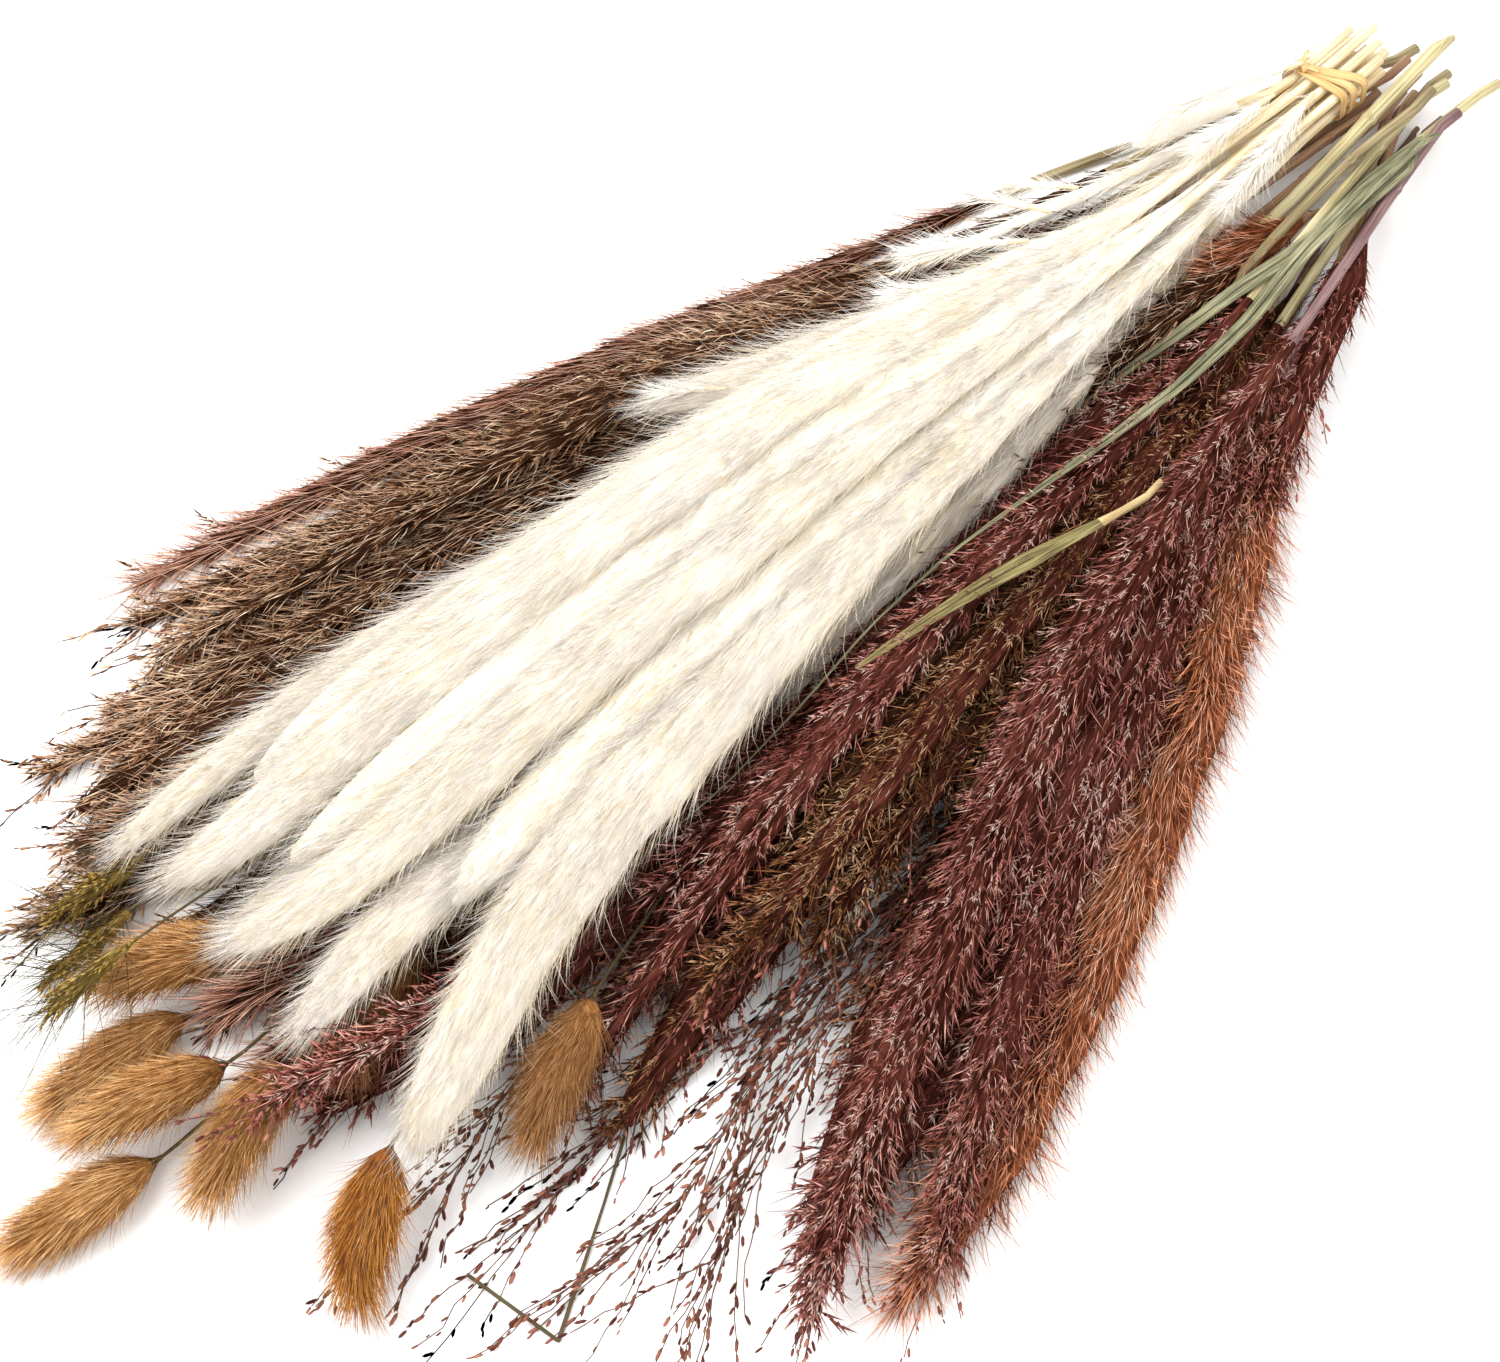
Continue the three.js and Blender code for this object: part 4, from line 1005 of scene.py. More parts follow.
@dataclass(frozen=True)
class Spray:
    """Open twigs with seeds: how many twigs, how they lie, and the seeds on each."""

    twigs: int
    length: float
    open: float
    waver: float
    seeds: int
    seed_length: float
    seed_radius: float
    finish: HairFinish

    TWIG_RADIUS = 0.22


@dataclass(frozen=True)
class Cut:
    """How finely a kind of stalk is lofted."""

    sides: int
    step: float  # between the plume's rings, in millimetres
    bends: int  # neighbours over which the middle line is evened out
    sizes: int  # neighbours over which the half-sizes are evened out
    area: float  # hairy area that a coat's whole count is meant for, in square metres


PLUME_CUT = Cut(10, 5.0, 8, 5, 0.0145)
HEAD_CUT = Cut(12, 2.5, 3, 1, 0.0021)


@dataclass(frozen=True)
class Look:
    """How one kind of plume is dressed."""

    # the core's finish, which shows between the hairs; on all kinds but the ears it is painted shade
    ground: StreakFinish
    stem: StreakFinish
    stem_radius: float
    core: float
    slot: str
    coats: tuple[Coat, ...]
    early: float = 0.0
    blunt: float = 0.0
    feathered: float = 0.0
    rise: float = 22.0
    tip_length: float = 0.8
    knots: float = 0.0
    broad: float = 1.0
    sideways: float = 0.3
    slender: float = 1.0
    spray: Spray | None = None
    cut: Cut = PLUME_CUT

    def coated(self, *finishes: HairFinish, **changes: object) -> Look:
        """Gives the coats other finishes.

        Args:
            finishes: One for each coat, or one for all of them.
            changes: Other values that all the coats get.

        Returns:
            The look with its new coats.
        """
        whole = finishes if finishes[1:] else finishes * len(self.coats)
        coats = (replace(coat, finish=finish, **changes) for coat, finish in zip(self.coats, whole))
        return replace(self, coats=tuple(coats))


CREAM_LOOK = Look(CREAM_SHADE_GROUND, STRAW, 1.6, 0.92, "cream_plume", (
    Coat(Way.HAIR, CREAM_HAIR, 7250, 19.0, 0.19, 8.0, 6.0, 0.06, 0.65),
    Coat(Way.WISP, CREAM_HAIR, 1100, 25.0, 0.15, 14.0, 9.0, 0.12, 0.9, curl=-30.0),
), early=20.0, blunt=60.0, rise=45.0, broad=1.16, sideways=0.9)
# The cream look in the lighter copies, painted light for two cream plumes and the wisps.
LIT_CREAM_LOOK = replace(CREAM_LOOK.coated(LIT_CREAM_HAIR), ground=LIT_CREAM_CORE)
WISP_LOOK = replace(
    LIT_CREAM_LOOK.coated(LIT_CREAM_HAIR, lean=15.0, length=17.0), core=0.45, blunt=0.0, rise=20.0, broad=1.0)
BROWN_LOOK = Look(BROWN_SHADE_GROUND, BROWN_STEM, 1.5, 0.82, "brown_plume", (
    Coat(Way.HAIR, BROWN_FUZZ, 3500, 14.0, 0.2, 24.0, 13.0, 0.2, 0.6),
    Coat(Way.CURL, BROWN_CURL, 860, 8.5, 0.32, 27.0, 16.0, 0.3, 0.5, curl=85.0),
    Coat(Way.SPRIG, BROWN_SPRIG, 480, 12.0, 0.46, 20.0, 11.0, 0.2, 0.5),
), early=30.0, feathered=0.15, tip_length=1.4, knots=95.0, broad=1.15,
    spray=Spray(18, 30.0, 0.55, 4.0, 12, 4.8, 0.52, BROWN_HUSK))
MAUVE_LOOK = Look(MAUVE_SHADE_GROUND, MAUVE_STEM, 1.7, 0.78, "mauve_plume", (
    Coat(Way.HAIR, MAUVE_FUZZ, 2300, 12.0, 0.24, 26.0, 14.0, 0.22, 0.5),
    Coat(Way.SPRIG, MAUVE_SPRIG, 1350, 11.0, 0.5, 26.0, 14.0, 0.2, 0.5),
    Coat(Way.CURL, MAUVE_CURL, 400, 7.5, 0.2, 30.0, 18.0, 0.3, 0.5, curl=80.0),
), early=20.0, feathered=0.1, tip_length=1.45, knots=95.0, broad=1.22,
    spray=Spray(20, 36.0, 0.5, 6.0, 12, 4.2, 0.6, MAUVE_HUSK))
ROSY_LOOK = MAUVE_LOOK.coated(ROSY_FUZZ, ROSY_SPRIG, MAUVE_CURL)
RUSSET_LOOK = MAUVE_LOOK.coated(RUSSET_FUZZ, RUSSET_SPRIG, BROWN_CURL)
OLIVE_LOOK = replace(BROWN_LOOK, coats=(
    Coat(Way.HAIR, OLIVE_FUZZ, 1900, 11.0, 0.22, 28.0, 14.0, 0.3, 0.6),
    Coat(Way.SPRIG, OLIVE_SPRIG, 1000, 10.0, 0.48, 28.0, 15.0, 0.3, 0.5),
    Coat(Way.CURL, BROWN_CURL, 220, 8.0, 0.24, 30.0, 18.0, 0.3, 0.5, curl=80.0),
))
PINK_LOOK = replace(MAUVE_LOOK, ground=BROWN_SHADE_GROUND, stem=BROWN_STEM, coats=(
    Coat(Way.HAIR, PINK_HAIR, 7000, 17.0, 0.2, 22.0, 11.0, 0.18, 0.6),
    Coat(Way.CURL, BROWN_CURL, 260, 9.0, 0.22, 30.0, 18.0, 0.35, 0.5, curl=90.0),
    Coat(Way.SPRIG, BROWN_SPRIG, 140, 12.0, 0.4, 24.0, 12.0, 0.2),
), spray=None)
RUST_LOOK = Look(RUST_SHADE_GROUND, BROWN_STEM, 1.6, 0.8, "rust_plume", (
    Coat(Way.HAIR, RUST_HAIR, 7200, 21.0, 0.2, 30.0, 14.0, 0.2, 0.9),
    Coat(Way.WISP, RUST_HAIR, 1100, 20.0, 0.18, 38.0, 15.0, 0.25, 0.9, curl=60.0),
    Coat(Way.SPRIG, MAUVE_SPRIG, 320, 10.0, 0.45, 28.0, 14.0, 0.24, 0.5),
), early=15.0, tip_length=1.2, knots=95.0, broad=1.6)
BUNNY_LOOK = Look(BUNNY_SHADE_GROUND, DRY_STRAW, 0.9, 0.8, "bunny_tail", (
    Coat(Way.HAIR, BUNNY_HAIR, 2900, 13.5, 0.15, 17.0, 9.0, 0.13, 0.6),
    Coat(Way.WISP, BUNNY_HAIR, 420, 16.0, 0.12, 24.0, 10.0, 0.16, 0.7, curl=-30.0),
), rise=6.0, tip_length=1.25, slender=0.6, cut=HEAD_CUT)
# The bunny look in the darker copy, painted shade.
SHADED_BUNNY_LOOK = BUNNY_LOOK.coated(SHADED_BUNNY_HAIR)
AMBER_LOOK = replace(BUNNY_LOOK.coated(AMBER_HAIR, length=16.0), ground=AMBER_SHADE_GROUND)
EAR_LOOK = Look(OLIVE_GROUND, DRY_STRAW, 0.8, 0.5, "bristle_ear", (
    Coat(Way.SPRIG, OLIVE_HAIR, 120, 8.0, 0.7, 14.0, 7.0, 0.1),
    Coat(Way.WISP, DARK_AWN, 260, 48.0, 0.2, 30.0, 22.0, 0.25, curl=18.0),
), rise=6.0, tip_length=1.0, slender=0.5, cut=HEAD_CUT)

LOOKS = {  # by the kind of stalk, or by a single stalk's node
    "cream": CREAM_LOOK,
    "brown": BROWN_LOOK,
    "olive": OLIVE_LOOK,
    "mauve": MAUVE_LOOK,
    "russet": RUSSET_LOOK,
    "rosy": ROSY_LOOK,
    "pink": PINK_LOOK,
    "rust": RUST_LOOK,
    "wisp": WISP_LOOK,
    "bunny": BUNNY_LOOK,
    "bristle": EAR_LOOK,
    "cream_plume_04": LIT_CREAM_LOOK,
    "cream_plume_11": LIT_CREAM_LOOK,
    "mauve_plume_01": ROSY_LOOK,
    "mauve_plume_02": RUSSET_LOOK,
    "mauve_plume_03": RUSSET_LOOK,
    "mauve_plume_06": ROSY_LOOK,
    "mauve_plume_07": PINK_LOOK,
    "mauve_plume_08": PINK_LOOK,
    "bunny_tail_06": AMBER_LOOK,
    "bunny_tail_07": SHADED_BUNNY_LOOK,
    "bunny_tail_08": SHADED_BUNNY_LOOK,
}
STEMS = {  # stems of another colour than their kind's
    "mauve_plume_02": GREEN,
    "mauve_plume_03": OLIVE_STEM,
    "mauve_plume_04": GREEN,
    "mauve_plume_05": OLIVE_STEM,
    "mauve_plume_07": OLIVE_STEM,
    "brown_plume_04": OLIVE_STEM,
    "brown_plume_07": OLIVE_STEM,
}
EARLY = {  # how far before its solid's own start a plume begins, in millimetres
    "cream_plume_01": 26.0,
    "cream_plume_02": 10.0,
    "cream_plume_03": 26.0,
    "cream_plume_04": 40.0,
    "cream_plume_05": 44.0,
    "cream_plume_06": 12.0,
    "cream_plume_07": 60.0,
    "cream_plume_08": 70.0,
    "cream_plume_10": 30.0,
    "cream_plume_11": 60.0,
}
CROWDED = {  # how much denser a plume's hairs are than its kind's
    "cream_plume_11": 1.1,
    "bristle_ear_01": 2.5,
    "bristle_ear_02": 2.5,
    "bristle_ear_03": 2.5,
}
THINNED = {  # plumes that thin out over some millimetres before their tip, and the share they sink by there
    "mauve_plume_04": (105.0, 0.7),
    "cream_plume_04": (170.0, 0.25),
}


# Finishing a piece


def plain(piece: Thing) -> None:
    """Turns a piece with live modifiers into a plain mesh, and keeps its name."""
    graph = bpy.context.evaluated_depsgraph_get()
    grown = piece.evaluated_get(graph)
    made = bpy.data.meshes.new_from_object(grown, preserve_all_data_layers=True, depsgraph=graph)
    piece.modifiers.clear()
    old = piece.data
    piece.data = made
    bpy.data.meshes.remove(old)
    made.name = piece.name


def joined(pieces: list[Thing]) -> Thing:
    """Joins objects into the first of them and returns it."""
    if pieces[1:]:
        with bpy.context.temp_override(active_object=pieces[0], object=pieces[0], selected_objects=pieces,
                                       selected_editable_objects=pieces):
            bpy.ops.object.join()
    return pieces[0]


def pressed(piece: Thing, lowest: float = 0.15, highest: float = 79.0, kept: float = 0.4) -> None:
    """Presses whatever reaches under the surface flat on it, and draws down what stands above the bunch.

    Args:
        piece: The object.
        lowest: The lowest height that is left, in millimetres.
        highest: The height above which hairs are drawn down, in millimetres.
        kept: The share that is left of what is above it.
    """
    places = np.zeros(len(piece.data.vertices) * 3, np.float32)
    piece.data.vertices.foreach_get("co", places)
    places = places.reshape(-1, 3)
    top = highest * MM
    heights = np.maximum(places[:, 2], lowest * MM)
    places[:, 2] = np.where(heights > top, top + (heights - top) * kept, heights)
    piece.data.vertices.foreach_set("co", places.ravel())
    piece.data.update()


def hand_over(piece: Thing, slot: str, *nodes: str) -> int:
    """Gives a finished piece to the frame.

    Args:
        piece: The piece.
        slot: The record's material slot; not used.
        nodes: The solids that it stands for.

    Returns:
        How many triangles it has.
    """
    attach(piece, "root")
    if nodes:
        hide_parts(*nodes)
    piece.data.calc_loop_triangles()
    count = len(piece.data.loop_triangles)
    log.info("%s: %d triangles", piece.name, count)
    return count


def hairy_area(mesh: bpy.types.Mesh) -> float:
    """Returns the skin's area in square metres, each part of it counted by how hairy it is."""
    values = np.zeros(len(mesh.vertices), np.float32)
    mesh.attributes["hairy"].data.foreach_get("value", values)
    return sum(face.area * float(np.mean(values[list(face.vertices)])) for face in mesh.polygons)


class Meadow:
    """The growth trees that all pieces share."""

    SPRIG = (
        Prong(0.0, 0.0, 1.0, 0.5),
        Prong(21.0, 15.0, 0.48, 1.0, 0.16),
        Prong(23.0, 195.0, 0.46, 1.0, 0.32),
        Prong(20.0, 105.0, 0.42, 1.0, 0.48),
        Prong(18.0, 285.0, 0.4, 0.9, 0.62),
    )

    def __init__(self) -> None:
        """Builds each tree once."""
        self.trees = {
            Way.HAIR: NeedleTree("hairs", (Prong(),), 1),
            Way.WISP: NeedleTree("wisps", (Prong(),), 2),
            Way.CURL: NeedleTree("curls", (Prong(),), 3),
            Way.SPRIG: NeedleTree("sprigs", self.SPRIG, 1),
        }
        self.twigs = TwigTree("twigs")

    def dress(self, piece: Thing, coat: Coat, seed: int, area: float, share: float) -> None:
        """Puts one coat on a piece.

        Args:
            piece: The core.
            coat: What grows on it.
            seed: The coat's seed.
            area: The core's hairy area in square metres.
            share: How many of the coat's growths this piece gets, 1 for a plume of the usual size.
        """
        self.trees[coat.way].apply(piece, {
            "Density": coat.count * share / area,
            "Length": coat.length * MM,
            "Shortest": coat.SHORTEST,
            "Radius": coat.radius * MM,
            "Lean": math.radians(coat.lean),
            "Lean Spread": math.radians(coat.lean_spread),
            "Scatter": coat.scatter,
            "Wave": coat.wave,
            "Curl": math.radians(coat.curl),
            "Seed": seed,
            "Finish": coat.finish.material(),
        })

    def fray(self, piece: Thing, spray: Spray, points: np.ndarray, seed: int) -> None:
        """Grows an open spray along a line and joins it to a piece.

        Args:
            piece: The piece.
            spray: What grows.
            points: The line that it grows from, in millimetres.
            seed: The spray's seed.
        """
        mesh = bpy.data.meshes.new("line")
        mesh.from_pydata((points * MM).tolist(), [(i, i + 1) for i in range(len(points) - 1)], [])
        line = shown(bpy.data.objects.new("line", mesh))
        self.twigs.apply(line, {
            "Twigs": spray.twigs,
            "Twig Length": spray.length * MM,
            "Twig Radius": spray.TWIG_RADIUS * MM,
            "Open": spray.open,
            "Waver": spray.waver * MM,
            "Seeds": spray.seeds,
            "Seed Length": spray.seed_length * MM,
            "Seed Radius": spray.seed_radius * MM,
            "Seed": seed,
            "Twig Finish": TWIG.material(),
            "Seed Finish": spray.finish.material(),
        })
        plain(line)
        joined([piece, line])


# Pieces


@dataclass(frozen=True)
class Stem:
    """Where a stalk's rings and the knots of its bare stem are, in millimetres from the cut end."""

    length: float
    bare: float
    knots: float  # how far the knots are apart, or 0 for a stem without

    STEP = 9.0  # between two rings of a bare stem
    CLOSEST = 0.3  # least distance of two rings
    FIRST_KNOT = 0.4  # of the distance between two knots
    CLEAR = 6.0  # between the last knot and the plume
    TIP = 1.0, 0.8  # how close the plume's rings come to the tip, and where the last ring is
    KNOT_RINGS = np.array([-1.6, -0.7, 0.0, 0.7, 1.6])  # from the middle of a knot
    KNOT_RISE = 0.2  # how much thicker a stem is there, as a share of its radius
    KNOT_HALF = 1.1  # half of a knot's length

    def knot_places(self) -> np.ndarray:
        """Returns where the knots are."""
        first = self.knots * self.FIRST_KNOT
        return np.arange(first, self.bare - self.CLEAR, self.knots) if self.knots else np.array([])

    def rings(self, step: float) -> np.ndarray:
        """Returns where the rings are, closer together at the knots and a step apart past the stem."""
        merged = np.unique(np.concatenate([
            np.arange(0.0, self.bare, self.STEP), np.arange(self.bare, self.length - self.TIP[0], step),
            [self.length - self.TIP[1]], (self.knot_places()[:, None] + self.KNOT_RINGS).ravel()]))
        return merged[np.concatenate([[True], np.diff(merged) > self.CLOSEST])]

    def bulge(self, run: np.ndarray) -> np.ndarray:
        """Returns how much thicker the stem is at its knots, as a factor on its radius."""
        places = self.knot_places()
        if not len(places):
            return np.ones_like(run)
        near = np.abs(run[:, None] - places).min(1)
        return 1 + self.KNOT_RISE * np.exp(-((near / self.KNOT_HALF) ** 2))


@dataclass
class Plume:
    """A stalk with its stem and plume, dressed by its kind."""

    node: str
    seed: int
    crowd: float = 1.0
    frayed: bool = True

    LEAST_BARE = 42.0  # millimetres of bare stem, which the tie holds
    HELD = 32.0  # millimetres at the cut end where the middle line isn't evened out
    MOST = 1.6  # times a coat's whole count that a large plume can get
    FULLNESS = 0.8  # of a blunt tip, as a share of the plume's greatest half-size
    LATE = (0.35, 0.3)  # where the outer part of a plume starts, and over what share it sets in
    OPENING = (0.6, 0.4)  # the same for the part where hairs stand out further
    OPENED = 0.5  # how much further
    TAPER = 0.25  # share of the plume over which hairs reach their length at the tip
    SPARSE = 0.35  # share of the hairs where the plume starts
    SHORT = 0.55  # share of their length there
    THINNEST = 0.15  # share of its size that a thinned tip keeps
    FRAYED_REACH = 70.0  # millimetres from the tip that twigs grow on
    SPRAYED = 1.0  # share of the look's twigs that its frayed end gets
    SWOLLEN = 1.45  # times the stem's radius, at which the plume starts
    UNTIED = 20.0  # millimetres from the cut end, before which it can't start
    BARE_SHARE = 0.6  # of a stalk on which no start is found

    def look(self) -> Look:
        """Returns the look of this very stalk, or else of its kind."""
        return LOOKS.get(self.node) or LOOKS[self.node.split("_")[0]]

    def build(self, frame: dict, meadow: Meadow) -> int:
        """Makes the piece in the place of its solid.

        Args:
            frame: What the frame's load gave.
            meadow: The growth trees.

        Returns:
            How many triangles the piece has.
        """
        look = self.look()
        form = self._form(frame)
        ease = risen(form.run, self.HELD, 15.0)[:, None]
        form.middle = form.middle * (1 - ease) + soft(form.middle, look.cut.bends) * ease
        stem = STEMS.get(self.node, look.stem)
        piece = self._loft(look, form).build([look.ground.material(), stem.material(), PITH.material()])
        area = hairy_area(piece.data)
        for step, coat in enumerate(look.coats):
            share = min(self.MOST, area / look.cut.area) * self.crowd * CROWDED.get(self.node, 1.0)
            meadow.dress(piece, coat, self.seed * 10 + step, area, share)
        plain(piece)
        if look.spray and self.frayed and self.node not in THINNED:
            spray = replace(look.spray, twigs=int(look.spray.twigs * self.SPRAYED))
            runs = np.linspace(form.length - self.FRAYED_REACH, form.length - 8.0, 16)
            meadow.fray(piece, spray, form.at(runs, form.middle), self.seed)
        pressed(piece)
        return hand_over(piece, look.slot, *self._stands_for())

    def _loft(self, look: Look, form: Form) -> Loft:
        """Shapes the skin that the coats grow on.

        Args:
            look: How the stalk is dressed.
            form: Its solid's form.

        Returns:
            The skin.
        """
        stem = self._stem(look)
        bare = max(self._bare(form, stem) - EARLY.get(self.node, look.early), self.LEAST_BARE)
        stem *= look.slender
        knotted = Stem(form.length, bare, look.knots)
        run = knotted.rings(look.cut.step)
        left = form.length - run
        share = risen(run, bare, form.length - bare)
        grown = risen(run, bare, look.rise)
        late = risen(share, *self.LATE)
        drawn_in, sunk = THINNED.get(self.node, (1.0, 0.0))
        kept = np.clip(left / drawn_in, self.THINNEST, 1.0)
        swollen = stem * knotted.bulge(run)
        ample = []
        sizes = []
        for values, broad in ((form.wide, look.broad), (form.tall, 1.0)):
            size = form.at(run, soft(values, look.cut.sizes)) * look.core * broad
            if look.blunt:
                closing = np.sqrt(np.clip(1 - (1 - risen(left, 0.0, look.blunt)) ** 2, 0, 1))
                size = np.maximum(size, size.max() * self.FULLNESS * closing * late)
            size = size * (1 - look.feathered * late)
            ample.append(size)
            size = np.maximum(size * kept, stem * (1 - share) + 0.5)
            sizes.append(np.where(run < bare, swollen, size * grown + stem * (1 - grown)))
        full = np.clip(ample[0].max() / np.maximum(ample[0], 0.5), 1, 4)
        tip = np.clip(left / (form.length - bare) / self.TAPER, 0, 1)
        length = look.tip_length + (1 - look.tip_length) * tip
        crowd = (self.SPARSE + (1 - self.SPARSE) * grown) * (1 + (full * kept - 1) * late)
        places = form.at(run, form.middle)
        places[:, 2] *= 1 - sunk * (1 - kept)
        return Loft(
            self.node + "_grown", places, *sizes, run, look.cut.sides,
            kinds=np.where(run < bare + 4, 1, 0),
            hairy=np.where(run < bare - 1, 0.0, crowd),
            long=np.where(run < bare, 0.8, length) * (self.SHORT + (1 - self.SHORT) * grown),
            open=1 + self.OPENED * risen(share, *self.OPENING), sideways=look.sideways)

    def _form(self, frame: dict) -> Form:
        """Returns the form of the solid that this plume stands for."""
        return Form.of_node(frame["nodes"][self.node])

    def _stands_for(self) -> tuple[str, ...]:
        """Returns the solids that this plume stands for."""
        return (self.node,)

    def _stem(self, look: Look) -> float:
        """Returns the stem's radius."""
        return look.stem_radius

    def _bare(self, form: Form, stem: float) -> float:
        """Finds where the bare stem ends.

        Args:
            form: The solid's form.
            stem: The stem's radius.

        Returns:
            The distance from the cut end at which the plume starts.
        """
        thick = soft(np.maximum(form.wide, form.tall), 2) > stem * self.SWOLLEN
        found = np.nonzero(thick & (form.run > self.UNTIED))[0]
        return float(form.run[found[0]]) if len(found) else form.length * self.BARE_SHARE


@dataclass
class SideShoot(Plume):
    """A side shoot of the stalks that follows a way of its own."""

    kind: str = "mauve"
    half: float = 9.0
    route: tuple[Point, ...] = ()

    LEAST_BARE = 2.0
    SPRAYED = 0.5
    START = 0.7  # radius of its thin start
    BENDS = 8  # neighbours over which its way is evened out
    SWELLS = (0.12, 0.5)  # shares of the length over which it swells and draws in again
    FLAT = 0.7  # its height as a share of its width

    def look(self) -> Look:
        """Returns the look of the kind that it grows from."""
        return LOOKS[self.kind]

    def _stem(self, look: Look) -> float:
        """Returns the radius of its thin start."""
        return self.START

    def _bare(self, form: Form, stem: float) -> float:
        """Returns how much of it stays bare."""
        return self.LEAST_BARE

    def _form(self, frame: dict) -> Form:
        """Makes a form along the route, which swells and draws in again."""
        corners = np.array(self.route, float)
        runs = travelled(corners)
        middle = soft(read(np.arange(0.0, runs[-1], Form.STEP), runs, corners), self.BENDS)
        return self._swelling(middle, self.half)

    def _swelling(self, middle: np.ndarray, half: np.ndarray | float) -> Form:
        """Gives a middle line half-sizes that swell from the start and draw in to the tip.

        Args:
            middle: The middle line.
            half: The greatest half-width, or that at each of the line's points.

        Returns:
            The form.
        """
        rising, falling = self.SWELLS
        share = np.linspace(0, 1, len(middle))
        closing = np.sqrt(np.clip(1.02 - share, 0, 1) / falling)
        wide = half * np.clip(np.minimum(share / rising, 1.0) * closing, 0.1, 1.0)
        return Form(middle, wide, np.minimum(self.FLAT * wide, np.maximum(middle[:, 2] - 0.5, 0.6)))

    def _stands_for(self) -> tuple[str, ...]:
        """Returns nothing, as no solid is hidden by a side shoot."""
        return ()


@dataclass
class Filling(SideShoot):
    """A side shoot that lies in the groove or gap between two stalks; its hairs add fluff there and its
    core's colour is painted shade in the gap.
    """

    between: tuple[str, str] = ("", "")
    start: float = 60.0
    cover: float = 0.9
    sunk: float = 2.0

    SWELLS = (0.3, 0.35)
    LOWEST = 3.0

    def _form(self, frame: dict) -> Form:
        """Makes a form halfway between the two stalks."""
        first, second = (Form.of_node(frame["nodes"][name]) for name in self.between)
        places = np.arange(self.start, min(first.length, second.length) * self.cover, Form.STEP)
        one, two = first.at(places, first.middle), second.at(places, second.middle)
        middle = soft((one + two) / 2, self.BENDS)
        middle[:, 2] = np.maximum(middle[:, 2] - self.sunk, self.LOWEST)
        gap = np.linalg.norm(one - two, axis=1) / 2
        return self._swelling(middle, np.minimum(self.half, gap * 0.8 + 2.0))


@dataclass
class Panicle:
    """A thin stalk whose open head carries twigs with small dark seeds."""

    node: str
    seed: int

    RADIUS = 0.85
    TAPER = 0.75  # share of the radius that is lost on the way to the tip
    BARE = 215.0
    STEP = 7.0  # between its rings
    END = 14.0  # how far from the tip the last twig grows
    SPRAY = Spray(60, 60.0, 0.3, 9.0, 15, 4.8, 0.7, SEED)

    def build(self, frame: dict, meadow: Meadow) -> int:
        """Makes the piece in the place of its solid.

        Args:
            frame: What the frame's load gave.
            meadow: The growth trees.

        Returns:
            How many triangles the piece has.
        """
        form = Form.of_node(frame["nodes"][self.node])
        head = form.run > self.BARE
        middle = form.middle.copy()
        middle[head] = soft(middle, 5)[head]
        middle[:, 2] = np.minimum(middle[:, 2], soft(middle, 4)[:, 2] + 0.4)
        run = np.append(np.arange(0.0, form.length - 2.0, self.STEP), form.length - 1.0)
        thin = self.RADIUS * (1 - self.TAPER * run / form.length)
        axis = Loft(self.node + "_grown", form.at(run, middle), thin, thin, run, 6)
        piece = axis.build([TWIG.material(), PITH.material()])
        runs = np.linspace(self.BARE, form.length - self.END, 30)
        meadow.fray(piece, self.SPRAY, form.at(runs, middle), self.seed)
        pressed(piece)
        return hand_over(piece, "seed_panicle", self.node)


@dataclass
class Blade:
    """A leaf blade or straw that follows its solid, as one strip or as two that part from each other."""

    node: str
    finish: StreakFinish
    flat: bool = True
    strips: int = 2
    knots: float = 0.0
    bare: float = 0.0  # millimetres of round stem before the blade
    slim: float = 1.0  # the width as a share of the solid's
    ends: float = 0.0  # the same share towards the tip, where it differs

    STEP = 6.0  # between its rings
    STEM = 1.7  # radius of the round stem
    THINNEST = 0.35
    APART = 1.15  # between its strips, in widths
    OVER = 0.5  # how far one strip lies over the other
    NARROWER = (0.62, 0.12)  # width of one of two strips at the start, and how much less it is further on
    STREAKS_APART = 7.0  # from one strip's streaks to the next one's

    def build(self, frame: dict, meadow: Meadow) -> int:
        """Makes the piece in the place of its solid.

        Args:
            frame: What the frame's load gave.
            meadow: The growth trees, which a blade has no use for.

        Returns:
            How many triangles the piece has.
        """
        form = Form.of_node(frame["nodes"][self.node])
        whole = Stem(form.length, form.length - 2.0, self.knots)
        run = whole.rings(self.STEP)
        knotted = whole.bulge(run)
        slim = self.slim + ((self.ends or self.slim) - self.slim) * risen(run / form.length, 0.3, 0.3)
        wide = form.at(run, soft(form.wide, 2)) * knotted * slim
        tall = form.at(run, soft(form.tall, 2)) * (1.0 if self.flat else knotted)
        if self.bare:
            stem = np.clip((self.bare + 3.0 - run) / 6.0, 0, 1)
            swollen = 1 + 0.25 * np.exp(-(((run - self.bare) / 2.0) ** 2))
            wide, tall = ((size * (1 - stem) + self.STEM * stem) * swollen for size in (wide, tall))
        middle = form.at(run, soft(form.middle, 2))
        across = beside(np.gradient(middle, axis=0))
        apart = risen(run, self.bare, 30.0) * wide
        finishes = [self.finish.material(), TAN_STEM.material(), PITH.material()]
        narrow = wide
        if self.strips > 1:
            narrow = wide * (self.NARROWER[0] - self.NARROWER[1] * risen(run, 0.0, 60.0))
        made = []
        for strip in range(self.strips):
            side = strip - (self.strips - 1) / 2
            shift = across * (apart * side)[:, None] * self.APART
            shift[:, 2] = self.OVER * side * risen(run, 0.0, 40.0)
            made.append(Loft(
                self.node + "_grown", middle + shift, narrow, np.maximum(tall, self.THINNEST),
                run + self.STREAKS_APART * strip, 12, kinds=np.where(run < self.bare, 1, 0)).build(finishes))
        return hand_over(joined(made), "leaf" if self.flat else "straw", self.node)


